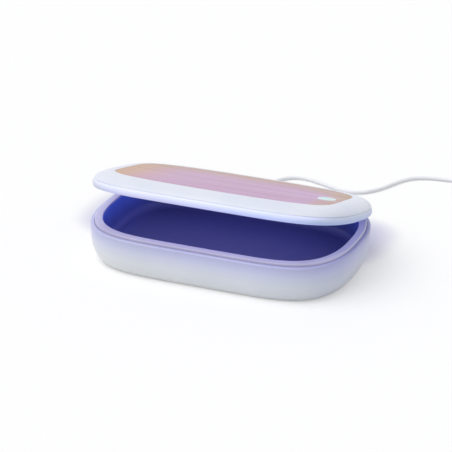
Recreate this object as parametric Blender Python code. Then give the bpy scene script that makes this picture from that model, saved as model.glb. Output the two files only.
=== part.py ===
"""UV sterilizer box with a hinged lid, in metres, +Z up, front towards -Y, origin under the middle of the base.

The base is a white tub with a chamber liner, a rim frame, a control board and rubber feet. The lid is a
top cover with a bamboo panel and a lower cover whose roof carries two ultraviolet lamps. The lid turns on
two steel pins behind the chamber and stands partly open. A power button travels in the lid, and a USB
cable runs from the back of the base.
"""

import math

import bmesh
import bpy
import numpy as np

# Plan outline of the body: |x / half length| ^ end power + |y / half width| ^ side power = 1
BODY_HALF_LENGTH = 0.1075
BODY_HALF_WIDTH = 0.0672
END_POWER = 5.28
SIDE_POWER = 2.52
OUTLINE_POINTS = 52
FINE_STEPS = 4800
CORNER_SHARE = 0.5

# How many sides round pieces are given, by how much they show
BUTTON_SIDES = 28
ROUND_SIDES = 20
SMALL_ROUND_SIDES = 12
POST_SIDES = 8

# General clearance between pieces, and how far a cutter runs past what it cuts
GAP = 0.0003
OVERRUN = 0.004
SEAM_ROOT = 0.0008

# Base shell
FOOT_PROUD = 0.0008
LEDGE_HEIGHT = 0.0305
BOTTOM_INSET = 0.0064
BOTTOM_POWER = 3.6
BOTTOM_ROUND = 0.0012
SHELL_WALL = 0.0024
SHELL_FLOOR = 0.0022
LEDGE_WIDTH = 0.0026
LEDGE_ROUND = 0.0010
SHOULDER_WIDTH = 0.0020
SHOULDER_DROP = 0.0017
SHOULDER_THICKNESS = 0.0010
WALL_HEIGHT_SHARES = (0.02, 0.07, 0.15, 0.26, 0.42, 0.7)
INNER_HEIGHT_SHARES = (0.5, 0.2)

# Rim frame and the lip that locates the lid
LIP_RISE = 0.0021
LIP_ROUND = 0.0004
FRAME_PLATE = 0.0012
FRAME_SKIRT = 0.0018
RIM_WIDTH = 0.0086

# Chamber liner
LINER_WALL = 0.0016
LINER_FLANGE = 0.0014
LINER_DRAFT = 0.0008
CHAMBER_FLOOR_HEIGHT = 0.010
CHAMBER_ROUND = 0.006

# Feet, screws and the studs that hold the liner in the shell
FOOT_RADIUS = 0.0070
FOOT_RECESS_DEPTH = 0.0010
FOOT_ROUND = 0.0004
FOOT_FROM_END = 0.0315
FOOT_FROM_SIDE = 0.0312
STUD_RADIUS = 0.0022
STUD_LENGTH = 0.0038
SOCKET_WALL = 0.0015
SCREW_SEAT = 0.0010
SCREW_RADIUS = 0.0011
SCREW_HEAD_RADIUS = 0.0026
SCREW_HEAD_HEIGHT = 0.0012
SCREW_LENGTH = 0.0046

# Lid hinge: its axis lies inside the rear wall, just below the ledge
AXIS_INSET = 0.0029
AXIS_DROP = 0.0018
LID_REST_DEG = 15.54
LID_OPEN_DEG = 75.0
KNUCKLE_PLACE_SHARE = 0.428
KNUCKLE_WIDTH = 0.0134
KNUCKLE_RADIUS = 0.0028
HINGE_CHEEK = 0.0050
PIN_RADIUS = 0.0012
PIN_END = 0.0006
SWING_GAP = 0.0004

# Lid band, shoulder and covers
LID_THICKNESS = 0.01245
BAND_HEIGHT = 0.0057
BAND_BULGE = 0.0010
BAND_EDGE = 0.0004
BAND_SHARES = (0.07, 0.3, 0.5, 0.7, 0.93)
SEAM_WIDTH = 0.0003
COVER_WALL = 0.0019
SHOULDER_REACH = 0.0177
PANEL_END_POWER = 2.62
PANEL_SIDE_POWER = 5.56
PANEL_THICKNESS = 0.0016
RECESS_PLATE = 0.0016
RING_WIDTH = 0.0018
RING_CHAMFER = 0.0003
LIP_CLEARANCE = 0.0004
ROOF_RISE = 0.0010
ROOF_THICKNESS = 0.0016
ROOF_STEP_INSET = 0.0096
TONGUE_WIDTH = 0.0012
SHOULDER_ANGLES = 8
INNER_ANGLES = 3

# Lid screws
LID_SCREW_FROM_END = 0.0335
LID_SCREW_FROM_SIDE = 0.0342
LID_BOSS_RADIUS = 0.0030
LID_SCREW_SEAT = 0.0008
LID_SCREW_HEAD_HEIGHT = 0.0009
LID_SCREW_LENGTH = 0.0050

# Power button, its switch and the lid board
BUTTON_FROM_END = 0.0300
BUTTON_Y = -0.0010
BUTTON_RADIUS = 0.0075
BUTTON_PROUD = 0.0004
BUTTON_CROWN = 0.0003
BUTTON_TRAVEL = 0.0005
BUTTON_SKIN = 0.0016
BUTTON_WALL = 0.0018
BUTTON_FLANGE_RADIUS = 0.0092
BUTTON_FLANGE_HEIGHT = 0.0012
PLUNGER_RADIUS = 0.0016
PLUNGER_LENGTH = 0.0014
SWITCH_HALF_SIDE = 0.0030
SWITCH_HEIGHT = 0.0018
SWITCH_FLOOR = 0.0004
LID_BOARD_THICKNESS = 0.0010
LID_BOARD_HALF_LENGTH = 0.0150
LID_BOARD_HALF_WIDTH = 0.0180
LID_BOARD_STAND = 0.0005
LID_BOARD_POST_RADIUS = 0.0016
LID_BOARD_POST_INSET = 0.0028

# Ultraviolet lamps
LAMP_PLACE_SHARE = 0.4186
LENS_RADIUS = 0.0060
LENS_FLANGE_RADIUS = 0.0076
LENS_FLANGE_HEIGHT = 0.0010
LENS_BORE_RADIUS = 0.0034
LENS_FACE = 0.0010
LED_HALF_SIDE = 0.0018
LED_HEIGHT = 0.0012
LED_DOME_RADIUS = 0.0013
LED_DOME_HEIGHT = 0.0004
LED_BOARD_RADIUS = 0.0082
LED_BOARD_THICKNESS = 0.0012
LED_POST_RADIUS = 0.0014
LED_POST_FROM_CENTRE = 0.0058

# Lid sensing: a magnet in the lid's front edge over a sensor and a keeper magnet under the rim
MAGNET_LENGTH = 0.0100
MAGNET_HEIGHT = 0.0018
MAGNET_DEPTH = 0.0040
MAGNET_INSET = 0.0090
KEEPER_HEIGHT = 0.0044
KEEPER_DEPTH = 0.0019
KEEPER_LENGTH = 0.0120
SENSOR_WIDTH = 0.0041
SENSOR_HEIGHT = 0.0032
SENSOR_DEPTH = 0.0015
SENSOR_SPACING = 0.0020

# Control board and USB socket
SOCKET_X = -0.030
SOCKET_HEIGHT = 0.0060
SOCKET_HALF_WIDTH = 0.0047
SOCKET_HALF_HEIGHT = 0.0018
SOCKET_SHEET = 0.0003
SOCKET_DEPTH = 0.0073
SOCKET_FACE_INSET = 0.0052
PORT_WALL = 0.0022
PORT_MARGIN = 0.0024
BOARD_THICKNESS = 0.0012
BOARD_LEFT = 0.026
BOARD_RIGHT = 0.024
BOARD_DEPTH = 0.022
BOARD_SETBACK = 0.0010
BOARD_POST_RADIUS = 0.0018
BOARD_POST_INSET = 0.0034
CHIP_SIDE = 0.0070
CHIP_HEIGHT = 0.0011
COIL_SIDE = 0.0060
COIL_HEIGHT = 0.0020
CONNECTOR_LENGTH = 0.0090
CONNECTOR_WIDTH = 0.0045
CONNECTOR_HEIGHT = 0.0019

# Plug at the box, in outline the USB type C size
TONGUE_HALF_WIDTH = 0.00412
TONGUE_HALF_HEIGHT = 0.0012
TONGUE_LENGTH = 0.0062
PLUG_HALF_WIDTH = 0.0059
PLUG_HALF_HEIGHT = 0.0031
PLUG_LENGTH = 0.0200
PLUG_TAPER_LENGTH = 0.0050
TAPER_WIDTH_SHARE = 0.8
TAPER_HEIGHT_SHARE = 0.95
PLUG_CLEARANCE = 0.0004
RELIEF_LENGTH = 0.0090
RELIEF_RADIUS = 0.0022
PLUG_SEGMENTS = 24

# Cable
CABLE_RADIUS = 0.0015
CABLE_REST_HEIGHT = 0.0017
CABLE_EXIT_GAP = 0.0003

# Plug at the far end, in outline the USB type A size
FAR_PLUG_HALF_WIDTH = 0.0078
FAR_PLUG_HALF_HEIGHT = 0.0040
FAR_PLUG_LENGTH = 0.0230
FAR_TONGUE_HALF_WIDTH = 0.0060
FAR_TONGUE_HALF_HEIGHT = 0.00225
FAR_TONGUE_LENGTH = 0.0120
FAR_PLUG_REST = 0.0003

# Points that the cable follows from its plug to the coil: x, y and height of its centre line
CABLE_ROUTE = (
    (-0.0300, 0.0966, 0.0060),
    (-0.0300, 0.0998, 0.0060),
    (-0.0300, 0.1060, 0.0052),
    (-0.0298, 0.1135, 0.0032),
    (-0.0292, 0.1220, 0.0018),
    (-0.0283, 0.1303, 0.0017),
    (-0.0267, 0.1407, 0.0017),
    (-0.0240, 0.1491, 0.0017),
    (-0.0206, 0.1558, 0.0017),
    (-0.0167, 0.1610, 0.0017),
    (-0.0117, 0.1649, 0.0017),
    (-0.0055, 0.1670, 0.0017),
    (0.0038, 0.1663, 0.0017),
    (0.0140, 0.1630, 0.0017),
    (0.0246, 0.1588, 0.0017),
    (0.0349, 0.1554, 0.0017),
    (0.0439, 0.1546, 0.0017),
    (0.0518, 0.1569, 0.0017),
    (0.0588, 0.1625, 0.0017),
    (0.0648, 0.1706, 0.0017),
    (0.0700, 0.1811, 0.0017),
    (0.0750, 0.1921, 0.0017),
    (0.0808, 0.2003, 0.0017),
    (0.0880, 0.2055, 0.0017),
    (0.0965, 0.2086, 0.0017),
    (0.1063, 0.2101, 0.0017),
    (0.1177, 0.2107, 0.0017),
    (0.1300, 0.2109, 0.0017),
    (0.1400, 0.2109, 0.0017),
    (0.1520, 0.2109, 0.0017),
)
ROUTE_STEPS = 2

# Coil of the length that is put away
COIL_TURNS = 7
COIL_OUTER_RADIUS = 0.0235
COIL_PITCH = 0.0036
COIL_LAYER_RISE = 0.0036
COIL_STEPS_PER_TURN = 24
COIL_STRAIGHT = 0.0032
TAIL_RADIUS = 0.0310
TAIL_POINTS = 9

# Tie strap under and round the coil, which lifts that side of it off the floor
TIE_THICKNESS = 0.0006
TIE_WIDTH = 0.0060
TIE_CORNER = 0.0012

# Finishes: colour, roughness and, for metal, metallic
SHELL_WHITE = ((0.80, 0.82, 0.86), 0.35)
RIM_WHITE = ((0.80, 0.81, 0.88), 0.35)
CHAMBER_NAVY = ((0.05, 0.06, 0.22), 0.25)
FOOT_RUBBER = ((0.55, 0.56, 0.60), 0.85)
PLATED_STEEL = ((0.60, 0.60, 0.62), 0.3, 1.0)
BOARD_GREEN = ((0.03, 0.20, 0.10), 0.45)
BRIGHT_SHEET = ((0.75, 0.75, 0.77), 0.25, 1.0)
PIN_STEEL = ((0.72, 0.72, 0.74), 0.2, 1.0)
MAGNET_NICKEL = ((0.55, 0.56, 0.58), 0.3, 1.0)
CASE_BLACK = ((0.03, 0.03, 0.035), 0.5)
BAND_WHITE = ((0.78, 0.80, 0.90), 0.35)
SHOULDER_WHITE = ((0.85, 0.88, 0.95), 0.35)
BAMBOO = ((0.72, 0.52, 0.38), 0.5)
LAMP_GLASS = ((0.75, 0.72, 0.92), 0.1)
DIODE_CERAMIC = ((0.85, 0.85, 0.80), 0.4)
BOARD_METAL = ((0.80, 0.80, 0.82), 0.4, 1.0)
BUTTON_WHITE = ((0.86, 0.92, 0.95), 0.3)
PLUNGER_RED = ((0.35, 0.12, 0.10), 0.5)
PLUG_WHITE = ((0.82, 0.83, 0.86), 0.45)
CABLE_WHITE = ((0.80, 0.81, 0.85), 0.5)
STRAP_GREY = ((0.70, 0.71, 0.74), 0.8)

# Values worked out from the driving dimensions
FOOT_FROM_CENTRE_X = BODY_HALF_LENGTH - FOOT_FROM_END
FOOT_FROM_CENTRE_Y = BODY_HALF_WIDTH - FOOT_FROM_SIDE
LID_SCREW_FROM_CENTRE_X = BODY_HALF_LENGTH - LID_SCREW_FROM_END
LID_SCREW_FROM_CENTRE_Y = BODY_HALF_WIDTH - LID_SCREW_FROM_SIDE
BUTTON_X = BODY_HALF_LENGTH - BUTTON_FROM_END
LAMP_FROM_CENTRE = BODY_HALF_LENGTH * LAMP_PLACE_SHARE
KNUCKLE_FROM_CENTRE = BODY_HALF_LENGTH * KNUCKLE_PLACE_SHARE
PIECE_TOP = LEDGE_HEIGHT + LIP_RISE
FRAME_UNDER = PIECE_TOP - FRAME_PLATE
LINER_TOP = FRAME_UNDER - GAP
SHOULDER_HEIGHT = LEDGE_HEIGHT - SHOULDER_DROP
SHELL_INNER_FLOOR = FOOT_PROUD + SHELL_FLOOR
LINER_UNDER = CHAMBER_FLOOR_HEIGHT - LINER_WALL
LINER_MOUTH_INSET = RIM_WIDTH + GAP
AXIS_Y = BODY_HALF_WIDTH - AXIS_INSET
AXIS_Z = LEDGE_HEIGHT - AXIS_DROP
NOTCH_HALF_WIDTH = KNUCKLE_WIDTH / 2 + GAP
LID_BOTTOM = LEDGE_HEIGHT + GAP
LID_TOP = LID_BOTTOM + LID_THICKNESS
BAND_TOP = LID_BOTTOM + BAND_HEIGHT
BAND_MIDDLE = LID_BOTTOM + BAND_HEIGHT / 2
COVER_BOTTOM = BAND_TOP + SEAM_WIDTH
RECESS_FLOOR = LID_TOP - PANEL_THICKNESS - GAP
COVER_UNDER = RECESS_FLOOR - RECESS_PLATE
LIP_ROOF = PIECE_TOP + LIP_CLEARANCE
ROOF_UNDER = LIP_ROOF + ROOF_RISE
ROOF_TOP = ROOF_UNDER + ROOF_THICKNESS
RING_INNER_INSET = LEDGE_WIDTH
COIL_INNER_RADIUS = COIL_OUTER_RADIUS - COIL_PITCH * COIL_TURNS / 2
TIE_FOOT = GAP / 3
TIE_LIFT_INSIDE = TIE_FOOT + TIE_THICKNESS + GAP - (CABLE_REST_HEIGHT - CABLE_RADIUS)
TIE_LIFT = TIE_LIFT_INSIDE * 2 * COIL_OUTER_RADIUS / (COIL_OUTER_RADIUS + COIL_INNER_RADIUS)


def empty(name, location, parent=None, tilt=0.0):
    """An empty that carries pieces, tilted about X."""
    carrier = bpy.data.objects.new(name, None)
    bpy.context.scene.collection.objects.link(carrier)
    carrier.location = location
    carrier.rotation_euler = (tilt, 0, 0)
    carrier.parent = parent
    return carrier


def finish(name, colour, roughness, metallic=0.0):
    """A plain Principled material."""
    material = bpy.data.materials.new(name)
    material.use_nodes = True
    shader = material.node_tree.nodes["Principled BSDF"]
    shader.inputs["Base Color"].default_value = (*colour, 1)
    shader.inputs["Roughness"].default_value = roughness
    shader.inputs["Metallic"].default_value = metallic
    material.diffuse_color = (*colour, 1)
    return material


def piece(name, vertices, faces, look, group, smooth_deg=35):
    """An object from points in the closed box's frame, hung on its group's empty with its normals outward."""
    carrier, centre = group
    mesh = bpy.data.meshes.new(name)
    local = [tuple(np.subtract(v, centre)) for v in vertices]
    mesh.from_pydata(local, [], faces)
    shape = bmesh.new()
    shape.from_mesh(mesh)
    bmesh.ops.recalc_face_normals(shape, faces=shape.faces)
    shape.to_mesh(mesh)
    shape.free()
    mesh.shade_smooth()
    mesh.set_sharp_from_angle(angle=math.radians(smooth_deg))
    thing = bpy.data.objects.new(name, mesh)
    bpy.context.scene.collection.objects.link(thing)
    thing.parent = carrier
    if look:
        mesh.materials.append(finish(name, *look))
    return thing


def helper(thing):
    """Marks an object as a tool for Booleans, left out of the result."""
    thing.hide_render = True
    thing.display_type = "WIRE"
    return thing


def combine(thing, tools, operation):
    for tool in tools:
        step = thing.modifiers.new(tool.name, "BOOLEAN")
        step.operation = operation
        step.solver = "EXACT"
        step.object = helper(tool)
    return thing


def cut(thing, *tools):
    return combine(thing, tools, "DIFFERENCE")


def join(thing, *tools):
    return combine(thing, tools, "UNION")


def outline(half_length, half_width, end_power=END_POWER, side_power=SIDE_POWER, count=OUTLINE_POINTS):
    """Points of |x/a|^p + |y/b|^q = 1 from +X through +Y, closer together where the outline bends more."""
    angle = np.linspace(0, math.tau, FINE_STEPS + 1)
    across, along = np.cos(angle), np.sin(angle)
    x = half_length * np.sign(across) * np.abs(across) ** (2 / end_power)
    y = half_width * np.sign(along) * np.abs(along) ** (2 / side_power)
    step_x, step_y = np.diff(x), np.diff(y)
    length = np.hypot(step_x, step_y)
    heading = np.unwrap(np.arctan2(step_y, step_x))
    bend = np.abs(np.diff(heading, append=heading[0] + math.tau))
    pace = (1 - CORNER_SHARE) * length / length.sum() + CORNER_SHARE * bend / bend.sum()
    walked = np.concatenate([[0], np.cumsum(pace)])
    stops = np.linspace(0, walked[-1], count, endpoint=False)
    return np.stack([np.interp(stops, walked, x), np.interp(stops, walked, y)], axis=1)


def rear_edge(x):
    """How far back the body's outline reaches at x."""
    share = 1 - min(abs(x) / BODY_HALF_LENGTH, 1) ** END_POWER
    return BODY_HALF_WIDTH * share ** (1 / SIDE_POWER)


def ring(inset, height):
    """The body's outline drawn in by an inset, at a height."""
    points = outline(BODY_HALF_LENGTH - inset, BODY_HALF_WIDTH - inset)
    return [(x, y, height) for x, y in points]


def panel_ring(inset, height, blend=1.0):
    """The outline between the body's and the bamboo panel's shape."""
    reach = SHOULDER_REACH * blend + inset
    end_power = END_POWER + (PANEL_END_POWER - END_POWER) * blend
    side_power = SIDE_POWER + (PANEL_SIDE_POWER - SIDE_POWER) * blend
    points = outline(BODY_HALF_LENGTH - reach, BODY_HALF_WIDTH - reach, end_power, side_power)
    return [(x, y, height) for x, y in points]


def circle(centre, radius, height, count):
    """A level ring of points about a centre."""
    turn = [math.tau * k / count for k in range(count)]
    return [(centre[0] + radius * math.cos(a), centre[1] + radius * math.sin(a), height) for a in turn]


def loft(name, rings, look, group, closed=False):
    """Skins rings of equal point count: capped at both ends, or joined end to end where closed."""
    count = len(rings[0])
    vertices = [point for one in rings for point in one]
    faces = []
    pairs = len(rings) if closed else len(rings) - 1
    for row in range(pairs):
        low, high = row * count, (row + 1) % len(rings) * count
        for k in range(count):
            following = (k + 1) % count
            faces.append((low + k, low + following, high + following, high + k))
    if not closed:
        faces.append(tuple(range(count)))
        faces.append(tuple(range(len(vertices) - count, len(vertices))))
    return piece(name, vertices, faces, look, group)


def turned(name, centre, profile, look, group, count=24, closed=False):
    """A turned shape about a vertical axis from (radius, height) pairs."""
    rings = [circle(centre, radius, height, count) for radius, height in profile]
    return loft(name, rings, look, group, closed)


def block(name, low, high, look, group):
    """A box between two corners."""
    rings = []
    for height in (low[2], high[2]):
        corners = ((low[0], low[1]), (high[0], low[1]), (high[0], high[1]), (low[0], high[1]))
        rings.append([(x, y, height) for x, y in corners])
    return loft(name, rings, look, group)


def rod(name, start, end, radius, look, group, count=20, turn=0.0):
    """A cylinder along X at the hinge axis."""
    rings = []
    for x in (start, end):
        angles = [math.tau * k / count + turn for k in range(count)]
        rings.append([(x, AXIS_Y + radius * math.cos(a), AXIS_Z + radius * math.sin(a)) for a in angles])
    return loft(name, rings, look, group)


def prism_x(name, start, end, profile, look, group):
    """A profile of (y, z) pairs carried along X."""
    return loft(name, [[(x, y, z) for y, z in profile] for x in (start, end)], look, group)


def arc(count, first, last):
    """Angles from first to last in equal steps, in degrees, returned in radians."""
    return [math.radians(a) for a in np.linspace(first, last, count)]


def wall_inset(height):
    """How far the shell's outer wall draws in at a height: little above, quickly near the bottom."""
    share = (height - FOOT_PROUD) / (LEDGE_HEIGHT - FOOT_PROUD)
    return BOTTOM_INSET * (1 - share) ** BOTTOM_POWER


def height_at(share):
    return FOOT_PROUD + (LEDGE_HEIGHT - FOOT_PROUD) * share


def shell_rings():
    """The tub's skin: bottom, outer wall, rounded ledge, rebate with its shoulder, inner wall and floor."""
    rings = [ring(BOTTOM_INSET + BOTTOM_ROUND, FOOT_PROUD)]
    rings += [ring(wall_inset(height_at(s)), height_at(s)) for s in WALL_HEIGHT_SHARES]
    for a in arc(3, 0, 90):
        inset = LEDGE_ROUND * (1 - math.cos(a))
        rings.append(ring(inset, LEDGE_HEIGHT - LEDGE_ROUND + LEDGE_ROUND * math.sin(a)))
    shoulder_inset = LEDGE_WIDTH + SHOULDER_WIDTH
    shoulder_foot = SHOULDER_HEIGHT - SHOULDER_THICKNESS
    rings.append(ring(LEDGE_WIDTH, LEDGE_HEIGHT))
    rings.append(ring(LEDGE_WIDTH, SHOULDER_HEIGHT))
    rings.append(ring(shoulder_inset, SHOULDER_HEIGHT))
    rings.append(ring(shoulder_inset, shoulder_foot))
    slope_foot = shoulder_foot - (shoulder_inset - SHELL_WALL)
    rings.append(ring(wall_inset(slope_foot) + SHELL_WALL, slope_foot))
    for share in INNER_HEIGHT_SHARES:
        height = height_at(share)
        rings.append(ring(wall_inset(height) + SHELL_WALL, height))
    floor_inset = wall_inset(SHELL_INNER_FLOOR) + SHELL_WALL
    rings.append(ring(floor_inset + BOTTOM_ROUND, SHELL_INNER_FLOOR))
    return rings


def foot_places():
    return [
        (f"{end}_{side}", (FOOT_FROM_CENTRE_X * x, FOOT_FROM_CENTRE_Y * y))
        for end, x in (("left", -1), ("right", 1))
        for side, y in (("front", -1), ("rear", 1))
    ]


def knuckle_places():
    return [("left", -KNUCKLE_FROM_CENTRE), ("right", KNUCKLE_FROM_CENTRE)]


def make_base_shell(base):
    shell = loft("base_shell", shell_rings(), SHELL_WHITE, base)
    recess_top = FOOT_PROUD + FOOT_RECESS_DEPTH
    head_room = recess_top + SCREW_HEAD_HEIGHT + GAP
    stud_foot = LINER_UNDER - STUD_LENGTH
    socket_floor = stud_foot - GAP
    socket_bore = STUD_RADIUS + GAP
    for name, centre in foot_places():
        tower = turned(
            f"socket_tower_{name}",
            centre,
            [
                (socket_bore + SOCKET_WALL, FOOT_PROUD + SHELL_FLOOR / 2),
                (socket_bore + SOCKET_WALL, LINER_UNDER - GAP),
                (socket_bore, LINER_UNDER - GAP),
                (socket_bore, socket_floor),
            ],
            None,
            base,
            SMALL_ROUND_SIDES,
        )
        join(shell, tower)
        hole = turned(
            f"screw_way_{name}",
            centre,
            [
                (FOOT_RADIUS + GAP, FOOT_PROUD - OVERRUN),
                (FOOT_RADIUS + GAP, recess_top),
                (SCREW_HEAD_RADIUS + GAP, recess_top),
                (SCREW_HEAD_RADIUS + GAP, head_room),
                (SCREW_RADIUS + GAP, head_room),
                (SCREW_RADIUS + GAP, socket_floor + OVERRUN / 4),
            ],
            None,
            base,
            SMALL_ROUND_SIDES,
        )
        cut(shell, hole)
    add_hinge_cheeks(shell, base)
    add_port(shell, base)
    add_board_posts(shell, base)
    return shell


def add_hinge_cheeks(shell, base):
    """Solid cheeks that hold each pin, with the notch between them in which the lid's knuckle turns."""
    front = AXIS_Y - KNUCKLE_RADIUS - GAP
    half = NOTCH_HALF_WIDTH + HINGE_CHEEK
    reach = KNUCKLE_RADIUS + GAP
    for side, x in knuckle_places():
        back = rear_edge(abs(x) + half) - SHELL_WALL / 2
        foot = AXIS_Z - reach - HINGE_CHEEK / 2
        low = (x - half, front - SEAM_ROOT, foot)
        high = (x + half, back, LEDGE_HEIGHT - GAP)
        join(shell, block(f"hinge_cheeks_{side}", low, high, None, base))
        sweep = [(AXIS_Y + reach * math.cos(a), AXIS_Z + reach * math.sin(a)) for a in arc(7, 180, 270)]
        above = AXIS_Z + KNUCKLE_RADIUS + OVERRUN
        behind = BODY_HALF_WIDTH + OVERRUN
        profile = [(front, above)] + sweep + [(behind, AXIS_Z - reach), (behind, above)]
        notch = prism_x(
            f"hinge_notch_{side}", x - NOTCH_HALF_WIDTH, x + NOTCH_HALF_WIDTH, profile, None, base
        )
        bore = rod(
            f"pin_bore_{side}", x - half - OVERRUN, x + half + OVERRUN, PIN_RADIUS + GAP, None, base
        )
        cut(shell, notch, bore)


def port_face():
    """Where the flat floor of the plug's pocket lies behind the centre."""
    return BODY_HALF_WIDTH - SOCKET_FACE_INSET


def add_port(shell, base):
    """A thickened wall with a pocket for the plug and a window for the socket."""
    face = port_face()
    outer = (SOCKET_X - PLUG_HALF_WIDTH - PORT_MARGIN, SOCKET_X + PLUG_HALF_WIDTH + PORT_MARGIN)
    tall = PLUG_HALF_HEIGHT + PORT_MARGIN
    low = (outer[0], face - PORT_WALL, FOOT_PROUD + SHELL_FLOOR / 2)
    high = (outer[1], face + SHELL_WALL / 2, SOCKET_HEIGHT + tall)
    join(shell, block("port_wall", low, high, None, base))
    wide = PLUG_HALF_WIDTH + PLUG_CLEARANCE
    high_half = PLUG_HALF_HEIGHT + PLUG_CLEARANCE
    pocket = slot_along_y("plug_pocket", wide, high_half, face, BODY_HALF_WIDTH + OVERRUN, base)
    window = slot_along_y(
        "socket_window",
        SOCKET_HALF_WIDTH + GAP,
        SOCKET_HALF_HEIGHT + GAP,
        face - PORT_WALL - OVERRUN / 2,
        face + OVERRUN / 2,
        base,
    )
    cut(shell, pocket, window)


def stadium(half_width, half_height, centre_x, centre_z, y):
    """A ring of points round a flat slot with round ends, seen along Y."""
    points = []
    straight = half_width - half_height
    for side, first in ((1, -90), (-1, 90)):
        for a in arc(PLUG_SEGMENTS // 2, first, first + 180):
            x = centre_x + side * straight + half_height * math.cos(a)
            points.append((x, y, centre_z + half_height * math.sin(a)))
    return points


def slot_along_y(name, half_width, half_height, start, end, group, look=None):
    rings = [stadium(half_width, half_height, SOCKET_X, SOCKET_HEIGHT, y) for y in (start, end)]
    return loft(name, rings, look, group)


def board_box():
    """Left, right, front and back of the control board, and the heights of its two faces."""
    back = port_face() - PORT_WALL - BOARD_SETBACK
    under = SOCKET_HEIGHT - SOCKET_HALF_HEIGHT / 2 - BOARD_THICKNESS / 4
    return (SOCKET_X - BOARD_LEFT, SOCKET_X + BOARD_RIGHT, back - BOARD_DEPTH, back, under, under + BOARD_THICKNESS)


def add_board_posts(shell, base):
    left, right, front, back, under, _ = board_box()
    for x in (left + BOARD_POST_INSET, right - BOARD_POST_INSET):
        for y in (front + BOARD_POST_INSET, back - BOARD_POST_INSET):
            profile = [
                (BOARD_POST_RADIUS, FOOT_PROUD + SHELL_FLOOR / 2),
                (BOARD_POST_RADIUS, under - GAP),
            ]
            join(shell, turned("board_post", (x, y), profile, None, base, POST_SIDES))


def make_rim_frame(base):
    """The flat frame round the chamber's mouth, with a skirt that stands in the shell's rebate."""
    outer = LEDGE_WIDTH + GAP
    skirt_foot = SHOULDER_HEIGHT + GAP
    section = [
        (outer, skirt_foot),
        (outer, PIECE_TOP - LIP_ROUND),
        (outer + LIP_ROUND / 3, PIECE_TOP - LIP_ROUND / 3),
        (outer + LIP_ROUND, PIECE_TOP),
        (RIM_WIDTH - LIP_ROUND, PIECE_TOP),
        (RIM_WIDTH - LIP_ROUND / 3, PIECE_TOP - LIP_ROUND / 3),
        (RIM_WIDTH, PIECE_TOP - LIP_ROUND),
        (RIM_WIDTH, FRAME_UNDER),
        (outer + FRAME_SKIRT, FRAME_UNDER),
        (outer + FRAME_SKIRT, skirt_foot),
    ]
    rings = [ring(inset, height) for inset, height in section]
    frame = loft("rim_frame", rings, RIM_WHITE, base, closed=True)
    front = AXIS_Y - KNUCKLE_RADIUS - GAP
    half = NOTCH_HALF_WIDTH + HINGE_CHEEK + GAP
    for side, x in knuckle_places():
        low = (x - half, front - SEAM_ROOT - GAP, SHOULDER_HEIGHT - OVERRUN)
        high = (x + half, BODY_HALF_WIDTH, FRAME_UNDER + GAP / 3)
        bay = block(f"frame_bay_{side}", low, high, None, base)
        low = (x - NOTCH_HALF_WIDTH, front, SHOULDER_HEIGHT - OVERRUN)
        high = (x + NOTCH_HALF_WIDTH, BODY_HALF_WIDTH, PIECE_TOP + OVERRUN)
        cut(frame, bay, block(f"frame_notch_{side}", low, high, None, base))
    return frame


def make_chamber_liner(base):
    """The chamber's tray: rounded floor, drafted walls and a flange held under the rim frame."""
    inner_foot = LINER_MOUTH_INSET + LINER_DRAFT
    outer_foot = inner_foot - LINER_WALL
    rings = []
    for a in arc(5, 90, 0):
        inset = inner_foot + CHAMBER_ROUND * (1 - math.cos(a))
        rings.append(ring(inset, CHAMBER_FLOOR_HEIGHT + CHAMBER_ROUND * (1 - math.sin(a))))
    flange_inset = LEDGE_WIDTH + GAP + FRAME_SKIRT + GAP
    flange_foot = LINER_TOP - LINER_FLANGE
    rings.append(ring(LINER_MOUTH_INSET, LINER_TOP))
    rings.append(ring(flange_inset, LINER_TOP))
    rings.append(ring(flange_inset, flange_foot))
    rings.append(ring(LINER_MOUTH_INSET - LINER_WALL, flange_foot))
    big_round = CHAMBER_ROUND + LINER_WALL
    for a in arc(4, 0, 90):
        inset = outer_foot + big_round * (1 - math.cos(a))
        rings.append(ring(inset, LINER_UNDER + big_round * (1 - math.sin(a))))
    liner = loft("chamber_liner", rings, CHAMBER_NAVY, base)
    for name, centre in foot_places():
        stud = turned(
            f"liner_stud_{name}",
            centre,
            [(STUD_RADIUS, LINER_UNDER - STUD_LENGTH), (STUD_RADIUS, LINER_UNDER + LINER_WALL / 2)],
            None,
            base,
            SMALL_ROUND_SIDES,
        )
        pilot_top = LINER_UNDER + LINER_WALL / 4
        pilot = turned(
            f"liner_pilot_{name}",
            centre,
            [(SCREW_RADIUS + GAP, LINER_UNDER - STUD_LENGTH - OVERRUN), (SCREW_RADIUS + GAP, pilot_top)],
            None,
            base,
            SMALL_ROUND_SIDES,
        )
        join(liner, stud)
        cut(liner, pilot)
    half = NOTCH_HALF_WIDTH + HINGE_CHEEK + GAP
    front = AXIS_Y - KNUCKLE_RADIUS - GAP - SEAM_ROOT - GAP
    for side, x in knuckle_places():
        low = (x - half, front, flange_foot - OVERRUN)
        high = (x + half, BODY_HALF_WIDTH, LINER_TOP + OVERRUN)
        cut(liner, block(f"liner_bay_{side}", low, high, None, base))
    return liner


def make_feet_and_screws(base):
    recess_top = FOOT_PROUD + FOOT_RECESS_DEPTH
    head_foot = recess_top
    head_top = head_foot + SCREW_HEAD_HEIGHT
    for name, centre in foot_places():
        foot = [
            (FOOT_RADIUS - FOOT_ROUND, 0),
            (FOOT_RADIUS, FOOT_ROUND),
            (FOOT_RADIUS, recess_top - GAP),
        ]
        turned(f"foot_{name}", centre, foot, FOOT_RUBBER, base, ROUND_SIDES)
        screw = [
            (SCREW_HEAD_RADIUS - FOOT_ROUND, head_foot),
            (SCREW_HEAD_RADIUS, head_foot + FOOT_ROUND),
            (SCREW_HEAD_RADIUS, head_top),
            (SCREW_RADIUS, head_top),
            (SCREW_RADIUS, head_top + SCREW_LENGTH),
        ]
        turned(f"base_screw_{name}", centre, screw, PLATED_STEEL, base, SMALL_ROUND_SIDES)


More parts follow.
